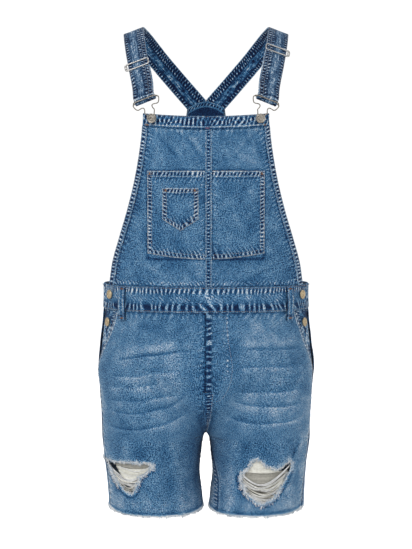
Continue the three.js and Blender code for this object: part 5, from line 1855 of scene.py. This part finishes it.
def sewAll():
    tan, pale = "tanStitches", "paleStitches"
    for name in ("waistbandFront", "waistbandBack"):
        for far in (1.9, 39.9):
            sewAcross(tan, name, far, 0.003, 0.997)
    sewAcross(tan, "bibTopBand", 1.5)
    sewAcross(pale, "bibTopBand", 17.6, thick=1.2)
    for name in ("left", "right"):
        for far, thread in ((8.4, tan), (1.6, pale)):
            for binding in ("bibBinding_", "backBinding_"):
                sewDown(thread, binding + name, far, 0.004, 0.997)
        for far in (2.6, 10.4):
            sewDown(tan, f"beltLoop_{name}", far, 0.03, 0.97, thick=0.8)
        for far, thread in ((1.4, tan), (7.4, pale), (34.6, tan)):
            sewDown(thread, f"webbing_{name}", far, 0.05, 0.995, thick=0.85)
        patch = f"pocket_{name}"
        outer = (lambda u: u) if name == "left" else (lambda u: 1 - u)
        for far, thread in ((1.4, tan), (7.2, pale)):
            side, bottom = outer(1 - far / pieces[patch].across), 1 - far / pieces[patch].down
            sew(thread, patch, [(side, 0.01), (side, bottom), (outer(0.01), bottom)])
        sewAcross(tan, patch, 1.4)
        sewAcross(pale, patch, 8.8)
        leg = f"legFront_{name}"
        for far in (1.6, 8.0):
            # the pocket mouth runs askew, where the panel is narrower
            sew(pale, leg, line(1 - far / 225, 0.004, 1 - far / frontLeg["across"], 0.26, 4))
        sewDown(pale, leg, -2.4, 0.27, 0.995, 6)
        sewDown(tan, f"legBack_{name}", 2.4, 0.005, 0.6, 6)
        sewDown(pale, f"legBack_{name}", -2.4, 0.005, 0.995, 6, thick=0.7)
    sewDown(tan, "legBack_left", 8.4, 0.005, 0.6, 6)
    for name in ("bibSeamUpper", "bibSeamLower", "pocketSeam"):
        for far in (1.5, 8.6):
            sewDown(pale, name, far)
    sewDown(pale, "frontRiseSeam", 7.6, 0.02, 0.98)
    for far, thread in ((1.4, tan), (6.8, pale)):
        inset, side, tip = far / coin["across"], 1 - far / 50, 1 - far / coin["down"]
        sew(thread, "coinPocket",
            [(inset, 0.02), (inset, side), (0.5, tip), (1 - inset, side), (1 - inset, 0.02)])
        sewAcross(thread, "coinPocket", far + 0.4, 0.02, 0.98)
    # the back panel's centre seam
    sew(tan, "backPanel", line(0.5 + 1.6 / 150, 0.2, 0.5 + 1.2 / 310, 0.99, 8))
    # the fly's J, on the wearer's left panel: straight down, then round to the middle seam
    path = [(37.5, 0.01), (37.5, 0.2), (35.5, 0.26)]
    for i in range(1, 7):
        turn = i / 6 * math.pi / 2
        path.append((12 + 23.5 * math.cos(turn), 0.26 + (0.105 - 2.5 / 345) * math.sin(turn)))
    sew(pale, "legFront_left", [(far / frontLeg["across"], v) for far, v in path], thick=0.75)
    for group, name, u, down, wide, tall in bartacks:
        tack(group, name, u, down, wide, tall)


# group, piece, share across it, distance from its upper edge, width, height
bartacks = [
    ("rustTacks", "coinPocket", 0.1, 4.6, 4.6, 3.6),
    ("rustTacks", "coinPocket", 0.9, 4.6, 4.6, 3.6),
    ("rustTacks", "pocket_left", 1 - 4.5 / 86, 4.6, 4.4, 3.4),
    ("rustTacks", "pocket_right", 4.5 / 96, 4.6, 4.4, 3.4),
    ("rustTacks", "bibTopBand", 0.035, 18.2, 9, 2.2),
    ("rustTacks", "bibTopBand", 0.97, 18.2, 7, 2.2),
    ("rustTacks", "beltLoop_left", 0.5, 52, 9, 2.2),
    ("rustTacks", "beltLoop_left", 0.5, 3, 9, 2.0),
    ("rustTacks", "beltLoop_right", 0.5, 52, 9, 2.2),
    ("rustTacks", "beltLoop_right", 0.5, 3, 9, 2.0),
    ("plumTacks", "bibTopBand", 0.51, 19.4, 8, 1.6),
]
# which look each group of stitches has
threads = {"tanStitches": "tanThread", "paleStitches": "paleThread", "rustTacks": "rust", "plumTacks": "plum"}

makeTrousers()
print("trousers are made")
makeWaist()
makeFly()
makeBib()
makePockets()
print("bib, waist and pockets are made")
makeBack()
makeStraps()
print("back and straps are made")
makeHooks()
makeButtons()
print("metal is made")
makeRipYarns()
makeFray()
print("torn edges are made")
sewAll()
for group, rows in stitchRows.items():
    layStitches(group, threads[group], rows)
print("topstitching is made")


stage = {
    "floorZ": -1.02,
    "floorGlow": 0.7,
    "sky": 0.62,
    "skySeen": 1.05,
    # soft boxes: name, place, size, watts
    "lamps": [
        ("softKey", (-1.5, -2.3, 1.5), 1.6, 34),
        ("softFill", (2.0, -2.2, 0.2), 2.0, 10),
        ("softBack", (0.6, 2.4, 1.2), 1.8, 22),
    ],
    "eye": {"lens": 100.26, "place": (0, -2.6, -0.2525), "downward": 3.61},
}


def makeStage():
    bm = bmesh.new()
    bmesh.ops.create_grid(bm, x_segments=2, y_segments=2, size=6,
                          matrix=Matrix.Translation((0, 0, stage["floorZ"])))
    shader = Shader("paleFloor")
    colour = shader.colours(shader.noise(shader.objectPlace(), 3.0, 2.0),
                            [(0.3, (0.9, 0.9, 0.9, 1)), (0.7, (0.95, 0.95, 0.95, 1))])
    made["paleFloor"] = shader.finish({"Base Color": colour, "Roughness": 0.9, "Emission Color": (1, 1, 1, 1),
                                       "Emission Strength": stage["floorGlow"]})
    floor = finishMesh("paleFloor", bm, ["paleFloor"])
    # the floor is only looked at: the sky lights the garment evenly from below too
    floor.visible_diffuse = False
    floor.visible_glossy = False
    scene = bpy.context.scene
    world = bpy.data.worlds.new("paleStudio")
    world.use_nodes = True
    tree = world.node_tree
    sky = tree.nodes["Background"]
    sky.inputs["Color"].default_value = (1, 1, 1, 1)
    ray = tree.nodes.new("ShaderNodeLightPath")
    strength = tree.nodes.new("ShaderNodeMix")
    strength.data_type = "FLOAT"
    strength.inputs["A"].default_value = stage["sky"]
    strength.inputs["B"].default_value = stage["skySeen"]
    tree.links.new(ray.outputs["Is Camera Ray"], strength.inputs["Factor"])
    tree.links.new(strength.outputs["Result"], sky.inputs["Strength"])
    scene.world = world
    scene.view_settings.view_transform = "Standard"
    for name, place, size, power in stage["lamps"]:
        light = bpy.data.lights.new(name, "AREA")
        light.size = size
        light.energy = power
        lamp = bpy.data.objects.new(name, light)
        lamp.location = place
        lamp.rotation_euler = (Vector((0, 0, -0.4)) - Vector(place)).to_track_quat("-Z", "Y").to_euler()
        lamp.visible_camera = False
        scene.collection.objects.link(lamp)
    camera = bpy.data.cameras.new("studioCamera")
    camera.lens = stage["eye"]["lens"]
    eye = bpy.data.objects.new("studioCamera", camera)
    eye.location = stage["eye"]["place"]
    eye.rotation_euler = (math.radians(90 - stage["eye"]["downward"]), 0, 0)
    scene.collection.objects.link(eye)
    scene.camera = eye


makeStage()
print("stage is set")
